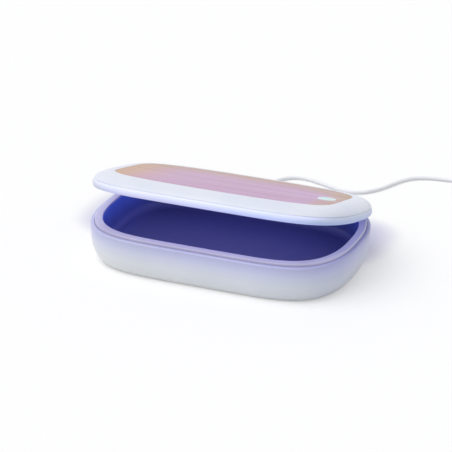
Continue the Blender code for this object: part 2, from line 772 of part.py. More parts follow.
def make_control_board(base):
    """The board behind the socket with a power chip, a coil and the lead connector soldered on."""
    left, right, front, back, under, top = board_box()
    board = block("control_board", (left, front, under), (right, back, top), BOARD_GREEN, base)
    socket_end = port_face() - SOCKET_DEPTH - GAP
    low = (SOCKET_X - SOCKET_HALF_WIDTH - GAP, socket_end, under - OVERRUN)
    high = (SOCKET_X + SOCKET_HALF_WIDTH + GAP, back + OVERRUN, top + OVERRUN)
    cut(board, block("socket_bay", low, high, None, base))
    sunk = BOARD_THICKNESS / 2
    middle = front + BOARD_DEPTH / 2
    parts = (
        ("power_chip", left + CHIP_SIDE, middle, CHIP_SIDE, CHIP_SIDE, CHIP_HEIGHT),
        ("power_coil", right - COIL_SIDE * 2, middle, COIL_SIDE, COIL_SIDE, COIL_HEIGHT),
        ("lead_connector", SOCKET_X, front + CONNECTOR_WIDTH, CONNECTOR_LENGTH, CONNECTOR_WIDTH, CONNECTOR_HEIGHT),
    )
    for name, x, y, length, width, height in parts:
        low = (x - length / 2, y - width / 2, top - sunk)
        high = (x + length / 2, y + width / 2, top + height)
        join(board, block(name, low, high, None, base))
    return board


def make_usb_socket(base):
    """A pressed sheet tube with a closed back."""
    mouth = port_face() - GAP / 3
    back = port_face() - SOCKET_DEPTH
    inner_width, inner_height = SOCKET_HALF_WIDTH - SOCKET_SHEET, SOCKET_HALF_HEIGHT - SOCKET_SHEET
    rings = [
        stadium(SOCKET_HALF_WIDTH, SOCKET_HALF_HEIGHT, SOCKET_X, SOCKET_HEIGHT, back),
        stadium(SOCKET_HALF_WIDTH, SOCKET_HALF_HEIGHT, SOCKET_X, SOCKET_HEIGHT, mouth),
        stadium(inner_width, inner_height, SOCKET_X, SOCKET_HEIGHT, mouth),
        stadium(inner_width, inner_height, SOCKET_X, SOCKET_HEIGHT, back + SOCKET_SHEET * 2),
    ]
    return loft("usb_socket", rings, BRIGHT_SHEET, base)


def make_hinge_pins(base):
    half = NOTCH_HALF_WIDTH + HINGE_CHEEK - PIN_END
    for side, x in knuckle_places():
        rod(f"hinge_pin_{side}", x - half, x + half, PIN_RADIUS, PIN_STEEL, base)


def make_keeper(base):
    """The keeper magnet and the lid sensor, stuck under the liner's flange at the front."""
    top = LINER_TOP - LINER_FLANGE - GAP
    back = -(BODY_HALF_WIDTH - LINER_MOUTH_INSET + LINER_WALL + GAP)
    low = (-KEEPER_LENGTH / 2, back - KEEPER_DEPTH, top - KEEPER_HEIGHT)
    block("keeper_magnet", low, (KEEPER_LENGTH / 2, back, top), MAGNET_NICKEL, base)
    start = KEEPER_LENGTH / 2 + SENSOR_SPACING
    low = (start, back - SENSOR_DEPTH, top - SENSOR_HEIGHT)
    block("lid_sensor", low, (start + SENSOR_WIDTH, back, top), CASE_BLACK, base)


def band_inset(height):
    """The lid's band bulges to the full outline half way up."""
    share = (height - BAND_MIDDLE) / (BAND_HEIGHT / 2)
    return BAND_BULGE * share**2


def relief_spindle(lid):
    """A turned cutter about the hinge axis: what lies inside it would strike the base's rear edge."""
    last = BODY_HALF_LENGTH * (1 - (AXIS_Y / BODY_HALF_WIDTH) ** SIDE_POWER) ** (1 / END_POWER)
    rings = []
    for share in np.linspace(-1, 1, 17):
        x = last * share
        behind = max(rear_edge(x) - AXIS_Y, 0) + SWING_GAP
        radius = math.hypot(behind, AXIS_DROP + SWING_GAP)
        angles = [math.tau * k / 20 for k in range(20)]
        rings.append([(x, AXIS_Y + radius * math.cos(a), AXIS_Z + radius * math.sin(a)) for a in angles])
    return loft("rear_relief", rings, None, lid)


def make_lid_lower_cover(lid):
    """The lid's band and chamber roof in one, with two knuckles that reach down to the pins."""
    edge_inset = band_inset(LID_BOTTOM) + BAND_EDGE
    rings = [
        ring(ROOF_STEP_INSET + ROOF_RISE, ROOF_UNDER),
        ring(ROOF_STEP_INSET, LIP_ROOF),
        ring(RING_INNER_INSET, LIP_ROOF),
        ring(RING_INNER_INSET, LID_BOTTOM + RING_CHAMFER),
        ring(RING_INNER_INSET - RING_CHAMFER, LID_BOTTOM),
        ring(edge_inset, LID_BOTTOM),
    ]
    for share in BAND_SHARES:
        height = LID_BOTTOM + BAND_HEIGHT * share
        rings.append(ring(band_inset(height), height))
    rings.append(ring(edge_inset, BAND_TOP))
    rings.append(ring(edge_inset + RING_WIDTH, BAND_TOP))
    rings.append(ring(edge_inset + RING_WIDTH, ROOF_TOP))
    cover = loft("lid_lower_cover", rings, BAND_WHITE, lid)
    cut(cover, relief_spindle(lid))
    for side, x in knuckle_places():
        start, end = x - KNUCKLE_WIDTH / 2, x + KNUCKLE_WIDTH / 2
        knuckle = rod(f"knuckle_{side}", start, end, KNUCKLE_RADIUS, None, lid, 24)
        half = KNUCKLE_RADIUS * math.cos(math.radians(30))
        web = [
            (AXIS_Y - half, AXIS_Z),
            (AXIS_Y + half, AXIS_Z),
            (AXIS_Y + half, ROOF_UNDER + ROOF_THICKNESS / 2),
            (AXIS_Y - half, ROOF_UNDER + ROOF_THICKNESS / 2),
        ]
        arm = prism_x(f"knuckle_web_{side}", start + GAP / 3, end - GAP / 3, web, None, lid)
        bore = rod(f"knuckle_bore_{side}", start - OVERRUN, end + OVERRUN, PIN_RADIUS + GAP, None, lid)
        join(cover, knuckle, arm)
        cut(cover, bore)
    for side, x in lamp_places():
        window = [(LENS_RADIUS + GAP, ROOF_UNDER - OVERRUN), (LENS_RADIUS + GAP, ROOF_TOP + OVERRUN)]
        cut(cover, turned(f"lamp_window_{side}", (x, 0), window, None, lid, ROUND_SIDES))
    for name, centre in lid_screw_places():
        way = [
            (SCREW_HEAD_RADIUS + GAP, ROOF_UNDER - OVERRUN),
            (SCREW_HEAD_RADIUS + GAP, ROOF_TOP - LID_SCREW_SEAT),
            (SCREW_RADIUS + GAP, ROOF_TOP - LID_SCREW_SEAT),
            (SCREW_RADIUS + GAP, ROOF_TOP + OVERRUN),
        ]
        cut(cover, turned(f"lid_screw_way_{name}", centre, way, None, lid, SMALL_ROUND_SIDES))
    for k, centre in enumerate(lid_board_posts()):
        post = [
            (LID_BOARD_POST_RADIUS, ROOF_TOP - ROOF_THICKNESS / 2),
            (LID_BOARD_POST_RADIUS, ROOF_TOP + LID_BOARD_STAND),
        ]
        join(cover, turned(f"lid_board_post_{k}", centre, post, None, lid, POST_SIDES))
    return cover


def lamp_places():
    return [("left", -LAMP_FROM_CENTRE), ("right", LAMP_FROM_CENTRE)]


def lid_screw_places():
    return [
        (f"{end}_{side}", (LID_SCREW_FROM_CENTRE_X * x, LID_SCREW_FROM_CENTRE_Y * y))
        for end, x in (("left", -1), ("right", 1))
        for side, y in (("front", -1), ("rear", 1))
    ]


def lid_board_posts():
    across = LID_BOARD_HALF_LENGTH - LID_BOARD_POST_INSET
    along = LID_BOARD_HALF_WIDTH - LID_BOARD_POST_INSET
    return [(BUTTON_X + across * x, BUTTON_Y + along * y) for x in (-1, 1) for y in (-1, 1)]


def make_lid_top_cover(lid):
    """The lid's white shoulder with the recess for the panel, screw bosses and lamp posts."""
    rise = LID_TOP - BAND_MIDDLE
    first = math.degrees(math.asin((COVER_BOTTOM + BAND_EDGE - BAND_MIDDLE) / rise))
    edge_inset = band_inset(LID_BOTTOM) + BAND_EDGE
    tongue = edge_inset + RING_WIDTH + GAP
    tongue_foot = ROOF_TOP + GAP
    rings = [ring(edge_inset, COVER_BOTTOM)]
    for a in arc(SHOULDER_ANGLES, first, 90):
        rings.append(panel_ring(0, BAND_MIDDLE + rise * math.sin(a), 1 - math.cos(a)))
    rings.append(panel_ring(0, RECESS_FLOOR))
    inner_reach = SHOULDER_REACH - COVER_WALL
    inner_rise = rise - COVER_WALL
    start = math.degrees(math.acos((SHOULDER_REACH - tongue - TONGUE_WIDTH) / inner_reach))
    stop = math.degrees(math.asin((COVER_UNDER - BAND_MIDDLE) / inner_rise))
    inner = []
    for a in arc(INNER_ANGLES, stop, start):
        inset = SHOULDER_REACH - inner_reach * math.cos(a)
        inner.append(ring(inset, BAND_MIDDLE + inner_rise * math.sin(a)))
    inner.append(ring(tongue + TONGUE_WIDTH, tongue_foot))
    inner.append(ring(tongue, tongue_foot))
    inner.append(ring(tongue, COVER_BOTTOM))
    cover = loft("lid_top_cover", inner + rings, SHOULDER_WHITE, lid)
    hole = [(BUTTON_RADIUS + GAP, COVER_UNDER - OVERRUN), (BUTTON_RADIUS + GAP, LID_TOP + OVERRUN)]
    cut(cover, turned("button_way", (BUTTON_X, BUTTON_Y), hole, None, lid, BUTTON_SIDES))
    for name, centre in lid_screw_places():
        boss = [
            (LID_BOSS_RADIUS, ROOF_TOP + GAP),
            (LID_BOSS_RADIUS, COVER_UNDER + RECESS_PLATE / 2),
        ]
        pilot = [
            (SCREW_RADIUS + GAP, ROOF_TOP - OVERRUN),
            (SCREW_RADIUS + GAP, COVER_UNDER + RECESS_PLATE / 4),
        ]
        join(cover, turned(f"lid_boss_{name}", centre, boss, None, lid, SMALL_ROUND_SIDES))
        cut(cover, turned(f"lid_pilot_{name}", centre, pilot, None, lid, POST_SIDES))
    board_top = led_board_height() + LED_BOARD_THICKNESS
    for side, x in lamp_places():
        for along in (-1, 1):
            post = [
                (LED_POST_RADIUS, board_top + GAP),
                (LED_POST_RADIUS, COVER_UNDER + RECESS_PLATE / 2),
            ]
            centre = (x, LED_POST_FROM_CENTRE * along)
            join(cover, turned(f"lamp_post_{side}", centre, post, None, lid, POST_SIDES))
    return cover


def make_bamboo_panel(lid):
    low = RECESS_FLOOR + GAP
    rings = [panel_ring(GAP, low), panel_ring(GAP, LID_TOP)]
    panel = loft("bamboo_panel", rings, BAMBOO, lid)
    hole = [(BUTTON_RADIUS + GAP, low - OVERRUN), (BUTTON_RADIUS + GAP, LID_TOP + OVERRUN)]
    return cut(panel, turned("panel_hole", (BUTTON_X, BUTTON_Y), hole, None, lid, BUTTON_SIDES))


def led_board_height():
    """The underside of the lamp boards, over the lens flanges."""
    return ROOF_TOP + GAP + LENS_FLANGE_HEIGHT + GAP


def make_lamps(lid):
    """Each lamp: a clear lens in the roof, the diode over it and the round board that carries the diode."""
    flange_low = ROOF_TOP + GAP
    flange_top = flange_low + LENS_FLANGE_HEIGHT
    board_low = led_board_height()
    for side, x in lamp_places():
        lens = [
            (LENS_RADIUS, ROOF_UNDER),
            (LENS_RADIUS, flange_low),
            (LENS_FLANGE_RADIUS, flange_low),
            (LENS_FLANGE_RADIUS, flange_top),
            (LENS_BORE_RADIUS, flange_top),
            (LENS_BORE_RADIUS, ROOF_UNDER + LENS_FACE),
        ]
        turned(f"uv_lens_{side}", (x, 0), lens, LAMP_GLASS, lid, ROUND_SIDES)
        led_top = board_low - GAP
        led_low = led_top - LED_HEIGHT
        low = (x - LED_HALF_SIDE, -LED_HALF_SIDE, led_low)
        led = block(f"uv_led_{side}", low, (x + LED_HALF_SIDE, LED_HALF_SIDE, led_top), DIODE_CERAMIC, lid)
        dome = [
            (LED_DOME_RADIUS / 2, led_low - LED_DOME_HEIGHT),
            (LED_DOME_RADIUS, led_low),
            (LED_DOME_RADIUS, led_low + LED_HEIGHT / 2),
        ]
        join(led, turned(f"uv_dome_{side}", (x, 0), dome, None, lid, SMALL_ROUND_SIDES))
        disc = [(LED_BOARD_RADIUS, board_low), (LED_BOARD_RADIUS, board_low + LED_BOARD_THICKNESS)]
        turned(f"uv_board_{side}", (x, 0), disc, BOARD_METAL, lid, ROUND_SIDES)


def make_lid_screws(lid):
    head_top = ROOF_TOP - LID_SCREW_SEAT - GAP / 3
    for name, centre in lid_screw_places():
        screw = [
            (SCREW_HEAD_RADIUS - FOOT_ROUND, head_top - LID_SCREW_HEAD_HEIGHT),
            (SCREW_HEAD_RADIUS, head_top - LID_SCREW_HEAD_HEIGHT + FOOT_ROUND),
            (SCREW_HEAD_RADIUS, head_top),
            (SCREW_RADIUS, head_top),
            (SCREW_RADIUS, head_top + LID_SCREW_LENGTH),
        ]
        turned(f"lid_screw_{name}", centre, screw, PLATED_STEEL, lid, SMALL_ROUND_SIDES)


def lid_board_top():
    return ROOF_TOP + LID_BOARD_STAND + GAP + LID_BOARD_THICKNESS


def make_lid_board(lid):
    """The board under the button, with the chip that runs the lamps."""
    top = lid_board_top()
    low = (BUTTON_X - LID_BOARD_HALF_LENGTH, BUTTON_Y - LID_BOARD_HALF_WIDTH, top - LID_BOARD_THICKNESS)
    high = (BUTTON_X + LID_BOARD_HALF_LENGTH, BUTTON_Y + LID_BOARD_HALF_WIDTH, top)
    board = block("lid_board", low, high, BOARD_GREEN, lid)
    chip_y = BUTTON_Y + LID_BOARD_HALF_WIDTH - CHIP_SIDE / 2 - GAP
    low = (BUTTON_X - CHIP_SIDE / 2, chip_y - CHIP_SIDE / 2, top - LID_BOARD_THICKNESS / 2)
    high = (BUTTON_X + CHIP_SIDE / 2, chip_y + CHIP_SIDE / 2, top + CHIP_HEIGHT)
    return join(board, block("lamp_chip", low, high, None, lid))


def make_switch(lid):
    """The push switch's case, a cup in which its plunger slides."""
    low_z = lid_board_top() + GAP
    low = (BUTTON_X - SWITCH_HALF_SIDE, BUTTON_Y - SWITCH_HALF_SIDE, low_z)
    high = (BUTTON_X + SWITCH_HALF_SIDE, BUTTON_Y + SWITCH_HALF_SIDE, low_z + SWITCH_HEIGHT)
    case = block("switch_case", low, high, CASE_BLACK, lid)
    bore = [(PLUNGER_RADIUS + GAP, low_z + SWITCH_FLOOR), (PLUNGER_RADIUS + GAP, low_z + SWITCH_HEIGHT + OVERRUN)]
    return cut(case, turned("switch_bore", (BUTTON_X, BUTTON_Y), bore, None, lid, SMALL_ROUND_SIDES))


def make_button(button):
    """The button cap: a crowned face, a hollow with a post, and the flange that keeps it in the cover."""
    top = LID_TOP + BUTTON_PROUD
    flange_top = COVER_UNDER - GAP
    flange_low = flange_top - BUTTON_FLANGE_HEIGHT
    under = top - BUTTON_SKIN
    centre = (BUTTON_X, BUTTON_Y)
    plunger_low = lid_board_top() + GAP + SWITCH_FLOOR + GAP + BUTTON_TRAVEL
    plunger_top = plunger_low + PLUNGER_LENGTH
    cap = [
        (PLUNGER_RADIUS, plunger_top + GAP),
        (PLUNGER_RADIUS, under),
        (BUTTON_RADIUS - BUTTON_WALL, under),
        (BUTTON_RADIUS - BUTTON_WALL, flange_low),
        (BUTTON_FLANGE_RADIUS, flange_low),
        (BUTTON_FLANGE_RADIUS, flange_top),
        (BUTTON_RADIUS, flange_top),
        (BUTTON_RADIUS, top - BUTTON_CROWN * 2),
        (BUTTON_RADIUS - BUTTON_CROWN, top - BUTTON_CROWN),
        (BUTTON_RADIUS / 2, top),
    ]
    turned("power_button", centre, cap, BUTTON_WHITE, button, BUTTON_SIDES)
    plunger = [(PLUNGER_RADIUS, plunger_low), (PLUNGER_RADIUS, plunger_top)]
    turned("switch_plunger", centre, plunger, PLUNGER_RED, button, SMALL_ROUND_SIDES)


def make_lid_magnet(lid):
    """The magnet that the sensor under the rim feels when the lid is shut."""
    low_z = ROOF_TOP + GAP
    front = -(BODY_HALF_WIDTH - MAGNET_INSET)
    low = (-MAGNET_LENGTH / 2, front, low_z)
    high = (MAGNET_LENGTH / 2, front + MAGNET_DEPTH, low_z + MAGNET_HEIGHT)
    block("lid_magnet", low, high, PLATED_STEEL, lid)


def make_device_plug(base):
    """The moulded plug at the box: a flat body that tapers into a round strain relief, and its steel tongue."""
    face = port_face() + GAP
    body_end = face + PLUG_LENGTH
    relief_start = body_end + PLUG_TAPER_LENGTH
    relief_end = relief_start + RELIEF_LENGTH
    slim = (PLUG_HALF_WIDTH - PLUG_CLEARANCE, PLUG_HALF_HEIGHT - PLUG_CLEARANCE)
    middle = (slim[0] * TAPER_WIDTH_SHARE, slim[1] * TAPER_HEIGHT_SHARE)
    rings = [
        plug_ring(*slim, face),
        plug_ring(PLUG_HALF_WIDTH, PLUG_HALF_HEIGHT, face + PLUG_CLEARANCE),
        plug_ring(PLUG_HALF_WIDTH, PLUG_HALF_HEIGHT, body_end),
        plug_ring(*middle, body_end + PLUG_TAPER_LENGTH / 2),
        plug_ring(RELIEF_RADIUS, RELIEF_RADIUS, relief_start),
        plug_ring(CABLE_RADIUS, CABLE_RADIUS, relief_end),
    ]
    loft("device_plug", rings, PLUG_WHITE, base)
    tongue_end = face - GAP
    rings = [
        plug_ring(TONGUE_HALF_WIDTH, TONGUE_HALF_HEIGHT, tongue_end - TONGUE_LENGTH),
        plug_ring(TONGUE_HALF_WIDTH, TONGUE_HALF_HEIGHT, tongue_end),
    ]
    loft("device_plug_tongue", rings, BRIGHT_SHEET, base)


def plug_ring(half_width, half_height, y):
    """A stadium that turns into a circle where its half width and half height are equal."""
    return stadium(half_width, half_height, SOCKET_X, SOCKET_HEIGHT, y)


def smooth_curve(points, steps):
    """Points on a Catmull-Rom curve through the given ones, with the given number of steps between two."""
    points = np.asarray(points, float)
    padded = np.concatenate([[2 * points[0] - points[1]], points, [2 * points[-1] - points[-2]]])
    found = []
    for k in range(len(points) - 1):
        before, start, end, after = padded[k : k + 4]
        for t in np.arange(steps) / steps:
            bend = (end - before) * t + (2 * before - 5 * start + 4 * end - after) * t**2
            bend = bend + (3 * start - before - 3 * end + after) * t**3
            found.append(start + bend / 2)
    found.append(points[-1])
    return np.array(found)


def tube(name, points, radius, look, group, resolution):
    """A round cable along points, with flat closed ends."""
    carrier, centre = group
    curve = bpy.data.curves.new(name, "CURVE")
    curve.dimensions = "3D"
    curve.bevel_depth = radius
    curve.bevel_resolution = resolution
    curve.use_fill_caps = True
    spline = curve.splines.new("POLY")
    spline.points.add(len(points) - 1)
    for slot, point in zip(spline.points, points):
        slot.co = (*np.subtract(point, centre), 1)
    thing = bpy.data.objects.new(name, curve)
    bpy.context.scene.collection.objects.link(thing)
    thing.parent = carrier
    curve.materials.append(finish(name, *look))
    return thing


def coil_centre():
    start = np.array(CABLE_ROUTE[-1])
    return start + np.array([COIL_STRAIGHT + CABLE_EXIT_GAP, -COIL_OUTER_RADIUS, 0])


def coil_points():
    """Centre line of the coil: it spirals in on the floor, climbs, and spirals out on top of itself.

    The radius falls by one pitch a turn and grows again at the same rate, and the climb takes the half
    turn in which the spiral reverses. The side that lies on the tie is lifted by it. The ends run
    straight for a cable's diameter.
    """
    start = np.array(CABLE_ROUTE[-1])
    centre = coil_centre()
    count = COIL_TURNS * COIL_STEPS_PER_TURN
    turned_so_far = np.linspace(0, COIL_TURNS, count + 1)
    from_middle = np.abs(turned_so_far - COIL_TURNS / 2)
    radius = COIL_INNER_RADIUS + COIL_PITCH * from_middle
    climb = np.clip((turned_so_far - COIL_TURNS / 2) * 2 + 1 / 2, 0, 1)
    rise = COIL_LAYER_RISE * (3 * climb**2 - 2 * climb**3)
    angle = math.tau / 4 - math.tau * turned_so_far
    x = centre[0] + radius * np.cos(angle)
    y = centre[1] + radius * np.sin(angle)
    tilt = TIE_LIFT * (start[1] - y) / (2 * COIL_OUTER_RADIUS)
    points = np.stack([x, y, start[2] + rise + tilt], axis=1)
    straight = np.array([COIL_STRAIGHT, 0, 0])
    return np.concatenate([[points[0] - straight], points, [points[-1] + straight]])


def unit(vector):
    return vector / np.linalg.norm(vector)


def least_gap(points, radius, skip):
    """The least clear distance between two stretches of a tube that lie more than skip apart along it."""
    fine = smooth_curve(points, 4)
    walked = np.concatenate([[0], np.cumsum(np.linalg.norm(np.diff(fine, axis=0), axis=1))])
    apart = np.linalg.norm(fine[:, None] - fine[None], axis=2)
    apart[np.abs(walked[:, None] - walked[None]) < skip] = np.inf
    return float(apart.min()) - 2 * radius


def make_cable(base):
    coil = coil_points()
    route = smooth_curve(CABLE_ROUTE, ROUTE_STEPS)
    tube("usb_cable", route, CABLE_RADIUS, CABLE_WHITE, base, 2)
    tube("cable_coil", coil, CABLE_RADIUS, CABLE_WHITE, base, 1)
    start = coil[-1] + np.array([CABLE_EXIT_GAP, 0, 0])
    tail = tail_points(start)
    tube("cable_tail", tail, CABLE_RADIUS, CABLE_WHITE, base, 2)
    make_far_plug(tail[-1] - np.array([0, CABLE_EXIT_GAP, 0]), np.array([0, -1, 0]), base)
    make_tie(base)
    gap = least_gap(coil, CABLE_RADIUS, COIL_OUTER_RADIUS)
    print(f"coil least gap {gap * 1000:.3f} mm")
    lengths = [np.linalg.norm(np.diff(line, axis=0), axis=1).sum() for line in (route, coil, tail)]
    print("cable lengths", [round(float(length), 4) for length in lengths], round(float(sum(lengths)), 4))


def tail_points(start):
    """A quarter turn from the top of the coil round to the far plug, sinking to the plug's middle."""
    far_height = FAR_PLUG_HALF_HEIGHT + FAR_PLUG_REST
    shares = np.linspace(0, 1, TAIL_POINTS)
    x = start[0] + TAIL_RADIUS * np.sin(shares * math.tau / 4)
    y = start[1] - TAIL_RADIUS * (1 - np.cos(shares * math.tau / 4))
    ease = shares**2 * (3 - 2 * shares)
    return np.stack([x, y, start[2] + (far_height - start[2]) * ease], axis=1)


def make_far_plug(start, heading, base):
    """The flat plug at the far end, lying on the floor beside the coil, with its steel tongue."""
    across = np.array([-heading[1], heading[0], 0])

    def section(half_width, half_height, along):
        corners = ((-1, -1), (1, -1), (1, 1), (-1, 1))
        centre = start + heading * along
        ends = [centre + across * half_width * i + np.array([0, 0, half_height * j]) for i, j in corners]
        return [tuple(point) for point in ends]

    neck = PLUG_TAPER_LENGTH
    rings = [
        section(CABLE_RADIUS, CABLE_RADIUS, 0),
        section(RELIEF_RADIUS, RELIEF_RADIUS, neck),
        section(FAR_PLUG_HALF_WIDTH, FAR_PLUG_HALF_HEIGHT, neck * 2),
        section(FAR_PLUG_HALF_WIDTH, FAR_PLUG_HALF_HEIGHT, neck * 2 + FAR_PLUG_LENGTH),
    ]
    plug = loft("far_plug", rings, PLUG_WHITE, base)
    soften(plug, PLUG_CLEARANCE)
    face = neck * 2 + FAR_PLUG_LENGTH + GAP
    rings = [
        section(FAR_TONGUE_HALF_WIDTH, FAR_TONGUE_HALF_HEIGHT, face),
        section(FAR_TONGUE_HALF_WIDTH, FAR_TONGUE_HALF_HEIGHT, face + FAR_TONGUE_LENGTH),
    ]
    loft("far_plug_tongue", rings, BRIGHT_SHEET, base)


def soften(thing, width):
    """Rounds a piece's edges a little."""
    bevel = thing.modifiers.new("edges", "BEVEL")
    bevel.width = width
    bevel.segments = 2
    bevel.limit_method = "ANGLE"


def rounded_loop(low, high, corner, x):
    """A ring of points round a rounded rectangle in the Y-Z plane at x, between two (y, z) corners."""
    points = []
    middles = (
        (high[0] - corner, high[1] - corner, 0),
        (low[0] + corner, high[1] - corner, 90),
        (low[0] + corner, low[1] + corner, 180),
        (high[0] - corner, low[1] + corner, 270),
    )
    for y, z, first in middles:
        for a in arc(4, first, first + 90):
            points.append((x, y + corner * math.cos(a), z + corner * math.sin(a)))
    return points


def make_tie(base):
    """A strap round the coil's bundle, on the side nearest to the box."""
    centre = coil_centre()
    clear = CABLE_RADIUS + GAP
    half = TIE_WIDTH / 2
    bow = COIL_INNER_RADIUS - math.sqrt(COIL_INNER_RADIUS**2 - half**2)
    low_y = centre[1] - COIL_OUTER_RADIUS + COIL_PITCH / 2 - clear
    high_y = centre[1] - COIL_INNER_RADIUS + bow + clear
    inner_low = (low_y, TIE_FOOT + TIE_THICKNESS)
    inner_high = (high_y, CABLE_REST_HEIGHT + COIL_LAYER_RISE + TIE_LIFT + clear)
    outer_low = (inner_low[0] - TIE_THICKNESS, TIE_FOOT)
    outer_high = (inner_high[0] + TIE_THICKNESS, inner_high[1] + TIE_THICKNESS)
    rings = []
    for x in (centre[0] - half, centre[0] + half):
        rings.append(rounded_loop(outer_low, outer_high, TIE_CORNER + TIE_THICKNESS, x))
    for x in (centre[0] + half, centre[0] - half):
        rings.append(rounded_loop(inner_low, inner_high, TIE_CORNER, x))
    loft("cable_tie", rings, STRAP_GREY, base, closed=True)


def build():
    for thing in list(bpy.data.objects):
        bpy.data.objects.remove(thing)
    frame = empty("base_frame", (0, 0, 0))
    axis = (0, AXIS_Y, AXIS_Z)
    hinge = empty("lid_hinge_axis", axis, frame, -math.radians(LID_REST_DEG))
    press = (BUTTON_X, BUTTON_Y, LID_TOP)
    slide = empty("button_slide_axis", tuple(np.subtract(press, axis)), hinge)
    base, lid, button = (frame, (0, 0, 0)), (hinge, axis), (slide, press)
    make_base_shell(base)
    make_rim_frame(base)
    make_chamber_liner(base)
    make_feet_and_screws(base)
    make_control_board(base)
    make_usb_socket(base)
    make_hinge_pins(base)
    make_keeper(base)
    make_lid_lower_cover(lid)
    make_lid_top_cover(lid)
    make_bamboo_panel(lid)
    make_lamps(lid)
    make_lid_screws(lid)
    make_lid_board(lid)
    make_switch(lid)
    make_lid_magnet(lid)
    make_button(button)
    make_device_plug(base)
    make_cable(base)


build()
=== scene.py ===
"""The look of the UV sterilizer box: fine surfaces, finishes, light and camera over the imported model.

All lengths are in metres and all angles in degrees. The shapes are the model's own, drawn with more
points. Lid pieces are worked out for the shut lid and then turned about the hinge to where it stands.
"""

import math

import bmesh
import bpy
import numpy as np
from mathutils import Matrix


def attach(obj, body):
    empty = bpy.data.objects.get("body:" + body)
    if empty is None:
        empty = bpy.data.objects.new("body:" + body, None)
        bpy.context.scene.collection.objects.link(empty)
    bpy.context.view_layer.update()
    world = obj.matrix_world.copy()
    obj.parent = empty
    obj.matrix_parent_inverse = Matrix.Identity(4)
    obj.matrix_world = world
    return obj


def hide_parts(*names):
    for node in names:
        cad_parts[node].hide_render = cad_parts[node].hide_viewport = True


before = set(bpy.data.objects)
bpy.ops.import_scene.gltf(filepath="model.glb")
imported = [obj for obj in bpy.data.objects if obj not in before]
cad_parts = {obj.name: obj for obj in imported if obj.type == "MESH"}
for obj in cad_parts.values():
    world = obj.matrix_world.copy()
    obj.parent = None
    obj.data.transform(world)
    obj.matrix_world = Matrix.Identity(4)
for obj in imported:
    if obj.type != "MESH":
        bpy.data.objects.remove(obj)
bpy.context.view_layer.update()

# The view of the photograph
VIEW_AZIMUTH = 22.746
VIEW_ELEVATION = 23.974
VIEW_ROLL = -0.066
VIEW_DISTANCE = 1.7275
AIM_HEIGHT = 0.025
STEP_RIGHT = -0.00343
STEP_UP = 0.00138
FOCAL_IN_PIXELS = 2218.4
FRAME_PIXELS = 452
SENSOR = 36.0
VIEW_REACH = 20

# Body
BODY_HALF_LENGTH = 0.1075
BODY_HALF_WIDTH = 0.0672
END_POWER = 5.28
SIDE_POWER = 2.52
GAP = 0.0003
OVERRUN = 0.004
SEAM_ROOT = 0.0008
OUTLINE_POINTS = 256
FINE_STEPS = 9600
CORNER_SHARE = 0.35

# Base
FOOT_PROUD = 0.0008
LEDGE_HEIGHT = 0.0305
BOTTOM_INSET = 0.0064
BOTTOM_POWER = 3.6
BOTTOM_ROUND = 0.0012
WALL_STEP_POWER = 1.4
SHELL_WALL = 0.0024
SHELL_FLOOR = 0.0022
LEDGE_WIDTH = 0.0026
LEDGE_ROUND = 0.0010
SEAT_EDGE = 0.00015
SHOULDER_WIDTH = 0.0020
SHOULDER_DROP = 0.0017
SHOULDER_THICKNESS = 0.0010
LIP_RISE = 0.0021
LIP_ROUND = 0.0004
LIP_SOFT_ROUND = 0.0010
FRAME_PLATE = 0.0012
FRAME_SKIRT = 0.0018
RIM_WIDTH = 0.0086
LINER_WALL = 0.0016
LINER_FLANGE = 0.0014
LINER_DRAFT = 0.0008
CHAMBER_FLOOR_HEIGHT = 0.010
CHAMBER_ROUND = 0.006
FOOT_RADIUS = 0.0070
FOOT_RECESS_DEPTH = 0.0010
FOOT_ROUND = 0.0004
FOOT_INSET = (0.0315, 0.0312)
GRIP_DEPTH = 0.00012
GRIP_SLOPE = 0.0002
GRIP_WIDTH = 0.0008
GRIP_STARTS = (0.0017, 0.0032, 0.0047)
STUD_RADIUS = 0.0022
STUD_LENGTH = 0.0038
SOCKET_WALL = 0.0015
SCREW_RADIUS = 0.0011
SCREW_HEAD_RADIUS = 0.0026
SCREW_HEAD_HEIGHT = 0.0012

# Hinge
AXIS_INSET = 0.0029
AXIS_DROP = 0.0018
LID_REST_DEG = 15.54
KNUCKLE_PLACE_SHARE = 0.428
KNUCKLE_WIDTH = 0.0134
KNUCKLE_RADIUS = 0.0028
HINGE_CHEEK = 0.0050
PIN_RADIUS = 0.0012
PIN_RELIEF = 0.0010
SWING_GAP = 0.0004

# Lid
LID_THICKNESS = 0.01245
BAND_HEIGHT = 0.0057
BAND_BULGE = 0.0010
BAND_EDGE = 0.0004
BAND_EDGE_SHARE = 0.07
BAND_SHARES = (0.02, 0.05, 0.09, 0.15, 0.22, 0.3, 0.4, 0.5, 0.6, 0.7, 0.78, 0.85, 0.91, 0.95, 0.98)
SEAM_SHOWN = 0.00004
SEAM_WIDTH = 0.0003
COVER_WALL = 0.0019
SHOULDER_REACH = 0.0177
PANEL_END_POWER = 2.62
PANEL_SIDE_POWER = 5.56
PANEL_THICKNESS = 0.0016
PANEL_EDGE = 0.00015
RECESS_PLATE = 0.0016
RING_WIDTH = 0.0018
RING_CHAMFER = 0.0003
CHAMFER_MIDDLE_SHARE = 0.3
LIP_CLEARANCE = 0.0004
ROOF_RISE = 0.0010
ROOF_CURVE_SHARE = 0.35
ROOF_THICKNESS = 0.0016
ROOF_STEP_INSET = 0.0096
TONGUE_WIDTH = 0.0012
LID_SCREW_INSET = (0.0335, 0.0342)
LID_BOSS_RADIUS = 0.0030
LID_SCREW_SEAT = 0.0008
BUTTON_FROM_END = 0.0300
BUTTON_Y = -0.0010
BUTTON_RADIUS = 0.0075
BUTTON_PROUD = 0.0004
BUTTON_CROWN = 0.0003
BUTTON_CROWN_SHARE = 0.9
BUTTON_CROWN_STEPS = (0.85, 0.6, 0.35, 0.12)
